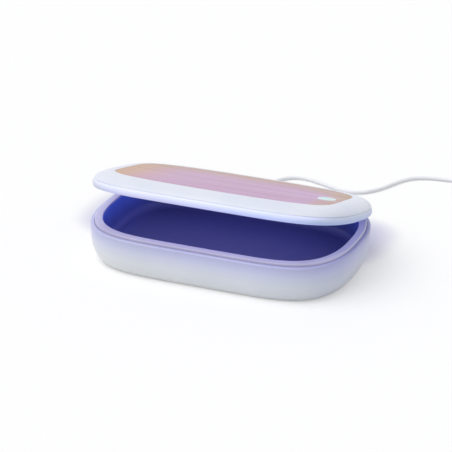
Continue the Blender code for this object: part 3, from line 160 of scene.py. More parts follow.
BUTTON_EDGE_DROP = 0.00066
BUTTON_ROUND = 0.00039
BUTTON_SKIN = 0.0016
BUTTON_WALL = 0.0018
BUTTON_FLANGE_RADIUS = 0.0092
BUTTON_FLANGE_HEIGHT = 0.0012
BUTTON_POST_RADIUS = 0.0016
BUTTON_POST_DROP = 0.0006
MARK_RADIUS = 0.0032
MARK_HALF_WIDTH = 0.00032
MARK_DEPTH = 0.00012
MARK_SINK = 0.000075
MARK_ARC = (122, 418)
MARK_BAR = (0.0012, 0.0041)
LAMP_PLACE_SHARE = 0.4186
LENS_RADIUS = 0.0060
LENS_ROUND = 0.0005
LENS_DIMPLE = 0.0002
LENS_FLANGE_RADIUS = 0.0076
LENS_FLANGE_HEIGHT = 0.0010
LENS_BORE_RADIUS = 0.0034
LENS_FACE = 0.0010

# Socket, plugs and cable
SOCKET_X = -0.030
SOCKET_HEIGHT = 0.0060
SOCKET_HALF_WIDTH = 0.0047
SOCKET_HALF_HEIGHT = 0.0018
SOCKET_FACE_INSET = 0.0052
PORT_WALL = 0.0022
PORT_MARGIN = 0.0024
PORT_SLOPE_TOP = 0.0052
PLUG_HALF_WIDTH = 0.0059
PLUG_HALF_HEIGHT = 0.0031
PLUG_LENGTH = 0.0200
PLUG_TAPER_LENGTH = 0.0050
PLUG_CLEARANCE = 0.0004
RELIEF_LENGTH = 0.0090
RELIEF_RADIUS = 0.0022
RELIEF_COLLAR = 0.00015
RELIEF_GROOVE = 0.00018
RELIEF_GROOVES = 5
CABLE_RADIUS = 0.0015
CABLE_REST_HEIGHT = 0.0017
CABLE_EXIT_GAP = 0.0003
FAR_PLUG_HALF_WIDTH = 0.0078
FAR_PLUG_HALF_HEIGHT = 0.0040
FAR_PLUG_LENGTH = 0.0230
FAR_PLUG_REST = 0.0003
FAR_PLUG_ROUND = 0.0016
CABLE_ROUTE = [(-0.0300, 0.0966, 0.0060), (-0.0300, 0.0998, 0.0060), (-0.0300, 0.1060, 0.0052)]
CABLE_ROUTE += [(-0.0298, 0.1135, 0.0032), (-0.0292, 0.1220, 0.0018)]
CABLE_ON_FLOOR = (
    (-0.0283, 0.1303), (-0.0267, 0.1407), (-0.0240, 0.1491), (-0.0206, 0.1558), (-0.0167, 0.1610),
    (-0.0117, 0.1649), (-0.0055, 0.1670), (0.0038, 0.1663), (0.0140, 0.1630), (0.0246, 0.1588),
    (0.0349, 0.1554), (0.0439, 0.1546), (0.0518, 0.1569), (0.0588, 0.1625), (0.0648, 0.1706),
    (0.0700, 0.1811), (0.0750, 0.1921), (0.0808, 0.2003), (0.0880, 0.2055), (0.0965, 0.2086),
    (0.1063, 0.2101), (0.1177, 0.2107), (0.1300, 0.2109), (0.1400, 0.2109), (0.1520, 0.2109),
)
CABLE_ROUTE += [(x, y, CABLE_REST_HEIGHT) for x, y in CABLE_ON_FLOOR]
COIL_TURNS = 7
COIL_OUTER_RADIUS = 0.0235
COIL_PITCH = 0.0036
COIL_LAYER_RISE = 0.0036
COIL_STRAIGHT = 0.0032
TAIL_RADIUS = 0.0310
TAIL_POINTS = 27
TIE_THICKNESS = 0.0006
TIE_WIDTH = 0.0060
TIE_CORNER = 0.0012
TIE_SOFT = 0.00015

# Where the finishes change along the box, and where painted light and shade lie on them
STRIP_WIDTH = 0.0068
PANEL_REACH = 0.088
PANEL_REAR = (0.026, 0.050)
PANEL_RIGHT = (0.045, 0.085)
PANEL_RIGHT_SHIFT = 0.020
# Painted light: the rim turns lighter between these x at each end
RIM_END_PAINTED_LIGHT = (0.084, 0.104)
TRAY_LEFT_END_PAINTED_LIGHT = (-0.078, -0.096)
TRAY_SHADE_TOP = 0.031
# Painted glow on the lid's roof round each lamp: its reach and strength
ROOF_PAINTED_GLOW_REACH = (0.006, 0.100)
ROOF_PAINTED_GLOW = 0.62
OUTLINE_EDGE = (0.86, 0.80)
CLOUD_EDGE = (0.3, 0.7)
# Painted light and shade on the base's wall by height: near white at the foot, darker and violet towards the
# rim
WALL_PAINTED_LIGHT = ((0.0, 252, 255, 255), (0.45, 245, 249, 255), (0.72, 230, 233, 255))
WALL_PAINTED_LIGHT += ((0.9, 211, 212, 249), (1.0, 196, 196, 234))
# Painted shade on the base's wall: darker towards the right end, away from the key light
WALL_PAINTED_SHADE = ((0.0, 1, 1, 1, 1), (0.25, 0.96, 0.96, 0.965, 1), (0.70, 0.94, 0.94, 0.98, 1))
WALL_PAINTED_SHADE += ((0.88, 0.87, 0.88, 0.92, 1), (1.0, 0.80, 0.80, 0.91, 1))
# Bamboo's own tan at the ends, and painted violet light over the middle
BAMBOO_TONE_AND_PAINTED_VIOLET = ((0.0, 214, 180, 146), (0.06, 216, 182, 160), (0.14, 214, 178, 196))
BAMBOO_TONE_AND_PAINTED_VIOLET += ((0.24, 211, 178, 216), (0.5, 209, 176, 217), (0.91, 213, 182, 226))
BAMBOO_TONE_AND_PAINTED_VIOLET += ((0.935, 212, 186, 200), (0.97, 213, 186, 190), (1.0, 214, 182, 172))

# Floor, and violet light and shade painted on it round both ends, for the light that leaves the gap
FLOOR_HALF = 4.0
FLOOR_DROP = 0.0001
FLOOR_WHITE = (0.74, 0.74, 0.74, 1)
FLOOR_LIFT = 0.41
PAINTED_SPILL_COLOUR = (0.45, 0.45, 0.57, 1)
SPILL_CENTRE = (-0.0185, 0.050)
SPILL_REACH = (0.1375, 0.066)
SPILL_SHIFT = 0.020
SPILL_POWER = 3.0
SPILL_EDGE = (0.4, 1.0)
SPILL_STARTS = 0.045
SPILL_FULL = 0.090

# Light
KEY_STRENGTH = 1.3
KEY_SPREAD = 50
KEY_TURN = (28, 0, -50)
KEY_COLOUR = (1.0, 0.99, 0.975)
FILL_COLOUR = (0.97, 0.98, 1.0, 1)
FILL_STRENGTH = 0.58
WHITE = (1, 1, 1, 1)

# Worked out from the values above
PIECE_TOP = LEDGE_HEIGHT + LIP_RISE
FRAME_UNDER = PIECE_TOP - FRAME_PLATE
LINER_TOP = FRAME_UNDER - GAP
SHOULDER_HEIGHT = LEDGE_HEIGHT - SHOULDER_DROP
SHELL_INNER_FLOOR = FOOT_PROUD + SHELL_FLOOR
LINER_UNDER = CHAMBER_FLOOR_HEIGHT - LINER_WALL
LINER_MOUTH_INSET = RIM_WIDTH + GAP
SCREW_BORE = SCREW_RADIUS + GAP
HEAD_BORE = SCREW_HEAD_RADIUS + GAP
PIN_BORE = PIN_RADIUS + GAP
AXIS_Y = BODY_HALF_WIDTH - AXIS_INSET
AXIS_Z = LEDGE_HEIGHT - AXIS_DROP
KNUCKLE_REACH = KNUCKLE_RADIUS + GAP
NOTCH_HALF_WIDTH = KNUCKLE_WIDTH / 2 + GAP
NOTCH_FRONT = AXIS_Y - KNUCKLE_REACH
CHEEKS_HALF_WIDTH = NOTCH_HALF_WIDTH + HINGE_CHEEK
KNUCKLES = (-BODY_HALF_LENGTH * KNUCKLE_PLACE_SHARE, BODY_HALF_LENGTH * KNUCKLE_PLACE_SHARE)
LID_BOTTOM = LEDGE_HEIGHT + GAP
LID_TOP = LID_BOTTOM + LID_THICKNESS
BAND_TOP = LID_BOTTOM + BAND_HEIGHT
BAND_MIDDLE = LID_BOTTOM + BAND_HEIGHT / 2
LID_EDGE_INSET = BAND_BULGE + BAND_EDGE
COVER_BOTTOM = BAND_TOP + SEAM_WIDTH
RECESS_FLOOR = LID_TOP - PANEL_THICKNESS - GAP
COVER_UNDER = RECESS_FLOOR - RECESS_PLATE
LIP_ROOF = PIECE_TOP + LIP_CLEARANCE
ROOF_UNDER = LIP_ROOF + ROOF_RISE
ROOF_TOP = ROOF_UNDER + ROOF_THICKNESS
BUTTON_X = BODY_HALF_LENGTH - BUTTON_FROM_END
BUTTON_TOP = LID_TOP + BUTTON_PROUD
LAMP_FROM_CENTRE = BODY_HALF_LENGTH * LAMP_PLACE_SHARE
LAMPS = (("left", -LAMP_FROM_CENTRE), ("right", LAMP_FROM_CENTRE))
PORT_FACE = BODY_HALF_WIDTH - SOCKET_FACE_INSET
COLLAR_RADIUS = CABLE_RADIUS + RELIEF_COLLAR
COIL_INNER_RADIUS = COIL_OUTER_RADIUS - COIL_PITCH * COIL_TURNS / 2
TIE_FOOT = GAP / 3

# The coil lies tilted, so that the strap fits under its front: the lift there, and at the outermost turn
TIE_LIFT_INSIDE = TIE_FOOT + TIE_THICKNESS + GAP - (CABLE_REST_HEIGHT - CABLE_RADIUS)
TIE_LIFT = TIE_LIFT_INSIDE * 2 * COIL_OUTER_RADIUS / (COIL_OUTER_RADIUS + COIL_INNER_RADIUS)


def place(name, data):
    thing = bpy.data.objects.new(name, data)
    bpy.context.scene.collection.objects.link(thing)
    return thing


def make_camera():
    """The camera of the photograph, from its angles, distance and focal length."""
    turn, lift, roll = (math.radians(a) for a in (VIEW_AZIMUTH, VIEW_ELEVATION, VIEW_ROLL))
    flat = math.cos(lift)
    back = np.array([math.sin(turn) * flat, -math.cos(turn) * flat, math.sin(lift)])
    level = np.array([math.cos(turn), math.sin(turn), 0.0])
    rise = np.cross(back, level)
    right = math.cos(roll) * level + math.sin(roll) * rise
    up = math.cos(roll) * rise - math.sin(roll) * level
    where = back * VIEW_DISTANCE + right * STEP_RIGHT + up * STEP_UP + np.array([0, 0, AIM_HEIGHT])
    matrix = np.eye(4)
    matrix[:3] = np.column_stack([right, up, back, where])
    lens = bpy.data.cameras.new("photo_camera")
    lens.sensor_width = SENSOR
    lens.lens = SENSOR * FOCAL_IN_PIXELS / FRAME_PIXELS
    lens.clip_end = VIEW_REACH
    camera = place("photo_camera", lens)
    camera.matrix_world = Matrix(matrix.tolist())
    bpy.context.scene.camera = camera


# Nodes and finishes


def tint(colour):
    """A painter's colour, three numbers from 0 to 255, in the shader's linear ones. One of four stays."""
    if len(colour) == 4:
        return colour
    share = np.array(colour) / 255
    linear = np.where(share <= 0.04045, share / 12.92, ((share + 0.055) / 1.055) ** 2.4)
    return (*linear.tolist(), 1.0)


class Nodes:
    """Short calls for the nodes of a tree."""

    def __init__(self, tree):
        self.tree = tree

    def feed(self, socket, value):
        """Sets a socket, or links another node's output to it."""
        if isinstance(value, bpy.types.NodeSocket):
            self.tree.links.new(value, socket)
        else:
            socket.default_value = tint(value) if socket.type == "RGBA" else value

    def set(self, node, **inputs):
        for key, value in inputs.items():
            self.feed(node.inputs[key.replace("_", " ")], value)
        return node

    def add(self, kind, **inputs):
        return self.set(self.tree.nodes.new(f"ShaderNode{kind}"), **inputs)

    def math(self, operation, *values):
        node = self.add("Math")
        node.operation = operation
        for socket, value in zip(node.inputs, values):
            self.feed(socket, value)
        return node.outputs[0]

    def seen(self):
        """1 for rays from the camera, in mirrors and through glass."""
        rays = self.add("LightPath").outputs
        either = self.math("MAXIMUM", rays["Is Camera Ray"], rays["Is Glossy Ray"])
        return self.math("MAXIMUM", either, rays["Is Transmission Ray"])


class Finish(Nodes):
    """A material under construction: a Principled shader and short calls for what feeds it."""

    def __init__(self, name, colour, roughness, metallic=0.0, **sockets):
        self.material = bpy.data.materials.new(name)
        self.material.use_nodes = True
        self.material.diffuse_color = tint(colour)
        super().__init__(self.material.node_tree)
        self.body = self.tree.nodes["Principled BSDF"]
        self.set(self.body, Base_Color=colour, Roughness=roughness, Metallic=metallic, **sockets)
        self.place = self.add("TexCoord").outputs["Object"]

    def noise(self, scale, detail=2.0, roughness=0.5, stretch=(1, 1, 1)):
        where = self.add("Mapping", Vector=self.place, Scale=stretch).outputs[0]
        node = self.add("TexNoise", Vector=where, Scale=scale, Detail=detail, Roughness=roughness)
        return node.outputs["Fac"]

    def ramp(self, factor, *stops):
        """A run of colours between stops, each its place and its colour's numbers."""
        node = self.add("ValToRGB", Fac=factor)
        band = node.color_ramp
        while len(band.elements) < len(stops):
            band.elements.new(0.5)
        for element, (at, *colour) in zip(band.elements, stops):
            element.position = at
            element.color = tint(colour)
        return node.outputs["Color"]

    def clouds(self, value, low, high):
        """Two shades that come and go with a noise."""
        return self.ramp(value, *((at, *colour) for at, colour in zip(CLOUD_EDGE, (low, high))))

    def span(self, value, low, high, to_low=0.0, to_high=1.0, soft=False):
        """A value's way from low to high, held at both ends, as a number from to_low to to_high."""
        node = self.add("MapRange", Value=value, From_Min=low, From_Max=high, To_Min=to_low, To_Max=to_high)
        node.interpolation_type = "SMOOTHSTEP" if soft else "LINEAR"
        return node.outputs["Result"]

    def mottle(self, scale, most, detail=2.0):
        """Slow clouds from 0 to the share given."""
        return self.span(self.noise(scale, detail), *CLOUD_EDGE, 0.0, most)

    def blend(self, factor, first, second, mode="MIX"):
        node = self.add("Mix")
        node.data_type = "RGBA"
        node.blend_type = mode
        for slot, value in ((0, factor), (6, first), (7, second)):
            self.feed(node.inputs[slot], value)
        return node.outputs[2]

    def axis(self, name):
        return self.add("SeparateXYZ", Vector=self.place).outputs[name]

    def along(self, half):
        """0 at x = -half to 1 at x = half."""
        return self.span(self.axis("X"), -half, half)

    def lid_height(self):
        """The height that a place on the resting lid has when shut: (y - y0) sin t + (z - z0) cos t + z0."""
        turn = math.radians(LID_REST_DEG)
        across = self.math("MULTIPLY", self.math("SUBTRACT", self.axis("Y"), AXIS_Y), math.sin(turn))
        rise = self.math("MULTIPLY", self.math("SUBTRACT", self.axis("Z"), AXIS_Z), math.cos(turn))
        return self.math("ADD", self.math("ADD", across, rise), AXIS_Z)

    def off_centre(self, *terms):
        """The sum of |v/a|^p over two terms (v, a, p)."""
        powers = []
        for value, half, power in terms:
            share = self.math("DIVIDE", self.math("ABSOLUTE", value), half)
            powers.append(self.math("POWER", share, power))
        return self.math("ADD", *powers)

    def inside_outline(self):
        """1 well inside the body's outline and 0 near it."""
        ends = (self.axis("X"), BODY_HALF_LENGTH, END_POWER)
        sides = (self.axis("Y"), BODY_HALF_WIDTH, SIDE_POWER)
        return self.span(self.off_centre(ends, sides), *OUTLINE_EDGE)

    def away_from(self, point):
        """The distance to a point."""
        node = self.add("VectorMath")
        node.operation = "DISTANCE"
        for socket, value in zip(node.inputs, (self.place, point)):
            self.feed(socket, value)
        return node.outputs["Value"]

    def colour(self, value):
        self.set(self.body, Base_Color=value)

    def rough(self, value, low, high):
        self.set(self.body, Roughness=self.span(value, *CLOUD_EDGE, low, high))

    def bump(self, height, strength, distance=0.00004):
        node = self.add("Bump", Height=height, Strength=strength, Distance=distance)
        self.set(self.body, Normal=node.outputs["Normal"])

    def glow(self, colour, strength):
        self.set(self.body, Emission_Color=colour, Emission_Strength=strength)


def spark_texture(finish, strength=0.12):
    """The fine even grain of a spark-eroded mould, with a slow drift of gloss over it."""
    finish.bump(finish.noise(2600, 2.0, 0.6), strength, 0.00005)
    finish.rough(finish.noise(38, 3.0, 0.55), 0.30, 0.44)


def base_white():
    """White moulded plastic with painted light and shade: violet and darker near the lit rim, lighter and
    green-grey at the foot, darker to the right.
    """
    finish = Finish("satin_white_base", (222, 226, 235), 0.36)
    height = finish.span(finish.axis("Z"), 0.0, LEDGE_HEIGHT)
    # Painted light and shade by height, under a random mottle
    white = finish.blend(finish.mottle(24, 0.18, 3.0), finish.ramp(height, *WALL_PAINTED_LIGHT), (214, 223, 236))
    # Painted shade: the wall darkens towards the right end
    painted_right_shade = finish.ramp(finish.along(BODY_HALF_LENGTH), *WALL_PAINTED_SHADE)
    finish.colour(finish.blend(1.0, white, painted_right_shade, "MULTIPLY"))
    spark_texture(finish)
    return finish


def rim_violet_white():
    """The same plastic on the rim, painted violet for the lamps' light that falls on it full on, and painted
    lighter at both ends.
    """
    # The violet in these colours is painted lamp light, and the lighter ends are painted light too
    finish = Finish("satin_white_rim", (206, 204, 242), 0.32)
    middle = finish.clouds(finish.noise(30), (186, 182, 214), (194, 190, 219))
    right = finish.span(finish.axis("X"), *RIM_END_PAINTED_LIGHT)
    left = finish.span(finish.axis("X"), -RIM_END_PAINTED_LIGHT[0], -RIM_END_PAINTED_LIGHT[1], 0.0, 0.6)
    finish.colour(finish.blend(finish.math("MAXIMUM", left, right), middle, (216, 215, 244)))
    spark_texture(finish, 0.08)
    return finish


def chamber_blue():
    """Dark blue moulded tray, its walls painted brighter upward and most at its left end as painted light."""
    finish = Finish("deep_blue_chamber", (44, 50, 122), 0.28, Specular_IOR_Level=0.5)
    height = finish.span(finish.axis("Z"), CHAMBER_FLOOR_HEIGHT, TRAY_SHADE_TOP)
    # Painted light: the walls lighten upward and most towards the left end
    wall = finish.ramp(height, (0.0, 73, 77, 131), (0.5, 78, 95, 171), (1.0, 87, 113, 208))
    bright = finish.ramp(height, (0.0, 88, 92, 158), (1.0, 104, 138, 250))
    wall = finish.blend(finish.span(finish.axis("X"), *TRAY_LEFT_END_PAINTED_LIGHT), wall, bright)
    finish.colour(finish.blend(finish.mottle(30, 0.1), wall, (62, 66, 120)))
    finish.bump(finish.noise(2200), 0.10)
    finish.rough(finish.noise(60), 0.30, 0.38)
    return finish


def band_white():
    """The lid's lower cover: cool white, painted bluer down its band and more so to the right, with a painted
    violet glow round the lamps on its roof.
    """
    finish = Finish("satin_white_band", (214, 219, 240), 0.34)
    height = finish.span(finish.lid_height(), LID_BOTTOM, BAND_TOP)
    # Painted light and shade: the band is bluer and darker towards its bottom edge, and more so to the right
    left = finish.ramp(height, (0.0, 204, 208, 238), (0.35, 216, 221, 243), (1.0, 230, 235, 248))
    right = finish.ramp(height, (0.0, 184, 204, 255), (0.35, 196, 214, 255), (1.0, 222, 231, 251))
    shade = finish.blend(finish.along(BODY_HALF_LENGTH / 2), left, right)
    finish.colour(finish.blend(finish.mottle(26, 0.2), shade, (214, 222, 246)))
    spark_texture(finish)
    # A painted violet glow on the roof round the lamps, standing in for their light on it
    lamps = [finish.away_from(lid_point((x, 0, ROOF_UNDER))) for _, x in LAMPS]
    near = [finish.span(away, *ROOF_PAINTED_GLOW_REACH, ROOF_PAINTED_GLOW, 0.0) for away in lamps]
    lit = finish.math("MULTIPLY", finish.math("ADD", *near), finish.inside_outline())
    finish.glow((196, 188, 255), lit)
    return finish


def shoulder_white():
    """The lid's top cover: brightest white of the part, faintly blue."""
    finish = Finish("satin_white_shoulder", (236, 241, 252), 0.34)
    finish.colour(finish.clouds(finish.noise(22, 3.0), (226, 231, 247), (235, 239, 250)))
    spark_texture(finish)
    return finish


def bamboo():
    """Strips of bamboo glued side by side: a tone for each strip, and fine fibres along X.

    Painted violet light tints the middle. Both ends and the rear, which is wider on the right, stay yellow. A
    strip's tone is fract(43.7 sin(12.9 k)), k its number along Y.
    """
    finish = Finish("sanded_bamboo", (214, 178, 160), 0.5)
    strip = finish.math("FLOOR", finish.math("MULTIPLY", finish.axis("Y"), 1 / STRIP_WIDTH))
    wave = finish.math("SINE", finish.math("MULTIPLY", strip, 12.9))
    own = finish.math("FRACT", finish.math("MULTIPLY", wave, 43.7))
    fibre = finish.noise(900, 4.0, 0.65, (0.022, 1, 1))
    streak = finish.noise(210, 3.0, 0.6, (0.03, 1, 1))
    right_end = finish.span(finish.axis("X"), *PANEL_RIGHT, 0.0, PANEL_RIGHT_SHIFT)
    back = finish.math("ADD", finish.axis("Y"), right_end)
    # The violet in the middle of this ramp is painted light
    tone = finish.ramp(finish.along(PANEL_REACH), *BAMBOO_TONE_AND_PAINTED_VIOLET)
    for value, low, high, most, colour in (
        (back, *PANEL_REAR, 0.75, (206, 184, 150)),
        (own, 0.0, 1.0, 0.22, (190, 150, 150)),
        (streak, 0.35, 0.75, 0.45, (184, 142, 146)),
        (fibre, 0.45, 0.8, 0.5, (160, 118, 112)),
    ):
        tone = finish.blend(finish.span(value, low, high, 0.0, most), tone, colour)
    finish.colour(tone)
    finish.rough(streak, 0.42, 0.58)
    finish.bump(fibre, 0.25, 0.00006)
    return finish


def lamp_glass():
    """Clear window over an ultraviolet diode, lit from behind."""
    finish = Finish("lit_lamp_window", (206, 196, 255), 0.12)
    finish.glow((200, 190, 255), 3.0)
    finish.rough(finish.noise(120), 0.08, 0.16)
    return finish


def button_white():
    """Milky button cap, slightly green where its light shows through."""
    finish = Finish("milky_button", (236, 244, 248), 0.25)
    finish.colour(finish.clouds(finish.noise(90), (208, 230, 236), (220, 236, 243)))
    finish.bump(finish.noise(2600), 0.05)
    finish.rough(finish.noise(80), 0.18, 0.28)
    return finish


def mark_green():
    """The lit sign on the button."""
    finish = Finish("lit_button_mark", (120, 206, 200), 0.3)
    finish.glow(finish.clouds(finish.noise(200, 1.0), (110, 214, 204), (140, 226, 216)), 0.35)
    return finish


def strap_weave():
    """Grey woven strap."""
    finish = Finish("woven_strap", (206, 208, 216), 0.85, Sheen_Weight=0.3)
    weave = finish.noise(1400, 2.0, 0.6, (1, 0.5, 0.5))
    finish.colour(finish.clouds(weave, (188, 190, 200), (220, 222, 228)))
    finish.bump(weave, 0.5, 0.0001)
    return finish


def plain(name, colour, roughness, metallic=0.0, grain=1200, bump=0.08, vary=0.06):
    """Any small part's finish: its colour with a slow drift of shade, a fine grain and uneven gloss."""
    finish = Finish(name, colour, roughness, metallic)
    shade = finish.noise(grain / 12, 3.0)
    low = (*[max(c * (1 - vary), 0.0) for c in tint(colour)[:3]], 1.0)
    high = (*[min(c * (1 + vary), 1.0) for c in tint(colour)[:3]], 1.0)
    finish.colour(finish.clouds(shade, low, high))
    finish.bump(finish.noise(grain), bump)
    finish.rough(shade, roughness * 0.85, min(roughness * 1.15, 1.0))
    return finish


# Surfaces


def outline(half_length, half_width, end_power, side_power):
    """Points of |x/a|^p + |y/b|^q = 1 from +X through +Y, closer together where it bends more.

    x = a sgn(cos t) |cos t|^(2/p) and y = b sgn(sin t) |sin t|^(2/q). The points are spaced evenly in a mix
    of the length walked and the angle turned.
    """
    t = np.linspace(0, math.tau, FINE_STEPS + 1)
    c, s = np.cos(t), np.sin(t)
    x = half_length * np.sign(c) * np.abs(c) ** (2 / end_power)
    y = half_width * np.sign(s) * np.abs(s) ** (2 / side_power)
    step_x, step_y = np.diff(x), np.diff(y)
    length = np.hypot(step_x, step_y)
    heading = np.unwrap(np.arctan2(step_y, step_x))
    turning = np.abs(np.diff(heading, append=heading[0] + math.tau))
    pace = (1 - CORNER_SHARE) * length / length.sum() + CORNER_SHARE * turning / turning.sum()
    walked = np.concatenate([[0], np.cumsum(pace)])
    stops = np.linspace(0, walked[-1], OUTLINE_POINTS, endpoint=False)
    return np.interp(stops, walked, x), np.interp(stops, walked, y)


def stack(x, y, z):
    """Points from their coordinates, where a single number stands for all."""
    return np.stack(np.broadcast_arrays(x, y, z), axis=-1)


def between(first, last, share):
    return first + (last - first) * share


def ring(inset, height, blend=0.0):
    """The body's outline drawn in by an inset, turning into the bamboo's outline as blend goes to 1."""
    reach = SHOULDER_REACH * blend + inset
    end_power = between(END_POWER, PANEL_END_POWER, blend)
    side_power = between(SIDE_POWER, PANEL_SIDE_POWER, blend)
    return stack(*outline(BODY_HALF_LENGTH - reach, BODY_HALF_WIDTH - reach, end_power, side_power), height)


def rings_of(section):
    """A ring of the body's outline for each (inset, height) or (inset, height, blend) of a section."""
    return [ring(*point) for point in section]


def arc(count, first, last):
    """Angles from first to last degrees, evenly spaced, in radians."""
    return np.radians(np.linspace(first, last, count))


def bend(centre, radius, count, first, last):
    """Pairs on a circle: centre + radius (cos a, sin a), a from first to last degrees."""
    a = arc(count, first, last)
    return list(zip(centre[0] + radius * np.cos(a), centre[1] + radius * np.sin(a)))


def ease(share):
    """A smooth step: 3 s^2 - 2 s^3."""
    return share**2 * (3 - 2 * share)


def grid_faces(rows, count, closed):
    """Quads between neighbouring rings of a rows by count grid, with end caps where it isn't closed."""
    row = np.arange(rows if closed else rows - 1)[:, None]
    k = np.arange(count)[None]
    following = (k + 1) % count
    low, high = row * count, (row + 1) % rows * count
    quads = np.stack([low + k, low + following, high + following, high + k], axis=-1).reshape(-1, 4)
    faces = quads.tolist()
    if not closed:
        faces.append(list(range(count))[::-1])
        faces.append(list(range((rows - 1) * count, rows * count)))
    return faces


def solid(name, rings, closed=False):
    """A surface through rings of equal point count, turned so that the volume inside it is positive."""
    points = np.array(rings, float)
    faces = grid_faces(*points.shape[:2], closed)
    vertices = points.reshape(-1, 3).tolist()
    mesh = bpy.data.meshes.new(name)
    mesh.from_pydata(vertices, [], faces)
    shell = bmesh.new()
    shell.from_mesh(mesh)
    if shell.calc_volume(signed=True) < 0:
        mesh.clear_geometry()
        mesh.from_pydata(vertices, [], [face[::-1] for face in faces])
    shell.free()
    return place(name, mesh)


def stepped(top, *runs):
    """A profile of upright runs (radius, foot), each up to the next one's foot and the last to top."""
    ends = [foot for _, foot in runs[1:]] + [top]
    return [(radius, z) for (radius, foot), end in zip(runs, ends) for z in (foot, end)]


def turned(name, centre, profile, count=48):
    """A (radius, height) profile swept round a vertical axis: centre + radius (cos t, sin t)."""
    t = np.linspace(0, math.tau, count, endpoint=False)
    x, y = np.cos(t), np.sin(t)
    return solid(name, [stack(centre[0] + r * x, centre[1] + r * y, height) for r, height in profile])


def at_each(centres, name, profile, count=48):
    """The same turned form at each of several centres."""
    return [turned(name, centre, profile, count) for centre in centres]


def block(name, low, high):
    """A box: four corners at two heights."""
    x = np.array([low[0], high[0], high[0], low[0]])
    y = np.array([low[1], low[1], high[1], high[1]])
    return solid(name, [stack(x, y, z) for z in (low[2], high[2])])


def spindle(name, stations, count=40):
    """Circles about the hinge axis at (x, radius) stations: (x, y0 + r cos t, z0 + r sin t)."""
    t = np.linspace(0, math.tau, count, endpoint=False)
    y, z = np.cos(t), np.sin(t)
    return solid(name, [stack(x, AXIS_Y + r * y, AXIS_Z + r * z) for x, r in stations])


def rod(name, start, end, radius, count=40):
    """A cylinder on the hinge axis."""
    return spindle(name, ((start, radius), (end, radius)), count)


def prism(name, start, end, profile):
    """A (y, z) profile carried along X from start to end."""
    return solid(name, [stack(x, *np.array(profile).T) for x in (start, end)])


def stadium(half_width, half_height, y, count=24):
    """A slot with round ends, seen along Y at the socket: half circles of radius h, w - h off the middle."""
    rows = []
    for side, first in ((1, -90), (-1, 90)):
        a = arc(count, first, first + 180)
        x = SOCKET_X + side * (half_width - half_height) + half_height * np.cos(a)
        rows.append(stack(x, y, SOCKET_HEIGHT + half_height * np.sin(a)))
    return np.concatenate(rows)


def rounded(low, high, corner, count=8):
    """A rounded rectangle between two (u, v) corners: a quarter circle at each, as pairs."""
    rows = []
    inner_low, inner_high = np.add(low, corner), np.subtract(high, corner)
    quarters = ((inner_high[0], inner_high[1], 0), (inner_low[0], inner_high[1], 90))
    quarters += ((inner_low[0], inner_low[1], 180), (inner_high[0], inner_low[1], 270))
    for u, v, first in quarters:
        a = arc(count, first, first + 90)
        rows.append(np.column_stack([u + corner * np.cos(a), v + corner * np.sin(a)]))
    return np.concatenate(rows)


def fuse(name, things):
    """Several closed meshes that don't meet, as one mesh."""
    whole = bmesh.new()
    for thing in things:
        whole.from_mesh(thing.data)
        bpy.data.objects.remove(thing)
    mesh = bpy.data.meshes.new(name)
    whole.to_mesh(mesh)
    whole.free()
    return place(name, mesh)


def carve(thing, *steps):
    """Adds or cuts groups of tools in turn: each step is "add" or "cut" with its list of tools."""
    for operation, tools in steps:
        tool = fuse(f"{thing.name}_tool", tools)
        step = thing.modifiers.new("carve", "BOOLEAN")
        step.operation = "UNION" if operation == "add" else "DIFFERENCE"
        step.solver = "EXACT"
        step.object = tool
        graph = bpy.context.evaluated_depsgraph_get()
        made = bpy.data.meshes.new_from_object(thing.evaluated_get(graph))
        thing.modifiers.clear()
        old, thing.data = thing.data, made
        bpy.data.meshes.remove(old)
        bpy.data.objects.remove(tool)


def lid_points(points):
    """The shut lid's points turned about the hinge: y0 + dy cos t + dz sin t and z0 - dy sin t + dz cos t."""
    turn = math.radians(LID_REST_DEG)
    points = np.asarray(points, float)
    back, up = points[:, 1] - AXIS_Y, points[:, 2] - AXIS_Z
    y = AXIS_Y + back * math.cos(turn) + up * math.sin(turn)
    return stack(points[:, 0], y, AXIS_Z - back * math.sin(turn) + up * math.cos(turn))


def lid_point(point):
    return tuple(lid_points([point])[0].tolist())


def settle(thing, body, finish, *nodes, slot=None, sharp=32):
    """Puts a piece on its body with its finish, in place of the nodes that it stands for."""
    mesh = thing.data
    if body != "base":
        co = np.empty(len(mesh.vertices) * 3)
        mesh.vertices.foreach_get("co", co)
        mesh.vertices.foreach_set("co", lid_points(co.reshape(-1, 3)).ravel())
        mesh.update()
    mesh.shade_smooth()
    mesh.set_sharp_from_angle(angle=math.radians(sharp))
    mesh.materials.clear()
    mesh.materials.append(finish.material)
    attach(thing, body)
    if nodes:
        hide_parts(*nodes)
    return thing


# Base


def wall_inset(height):
    """How far the wall is drawn in: c (1 - k)^p, k the share of the height from the bottom to the ledge."""
    share = (height - FOOT_PROUD) / (LEDGE_HEIGHT - FOOT_PROUD)
    return BOTTOM_INSET * (1 - share) ** BOTTOM_POWER


def rear_edge(x):
    """The y of the outline's rear edge at x: b (1 - |x/a|^p)^(1/q)."""
    share = 1 - min(abs(x) / BODY_HALF_LENGTH, 1) ** END_POWER
    return BODY_HALF_WIDTH * share ** (1 / SIDE_POWER)


def corner_places(inset):
    """Places an inset in from the body's ends and sides: left front, left rear, right front, right rear."""
    x, y = BODY_HALF_LENGTH - inset[0], BODY_HALF_WIDTH - inset[1]
    return [(i, j) for i in (-x, x) for j in (-y, y)]


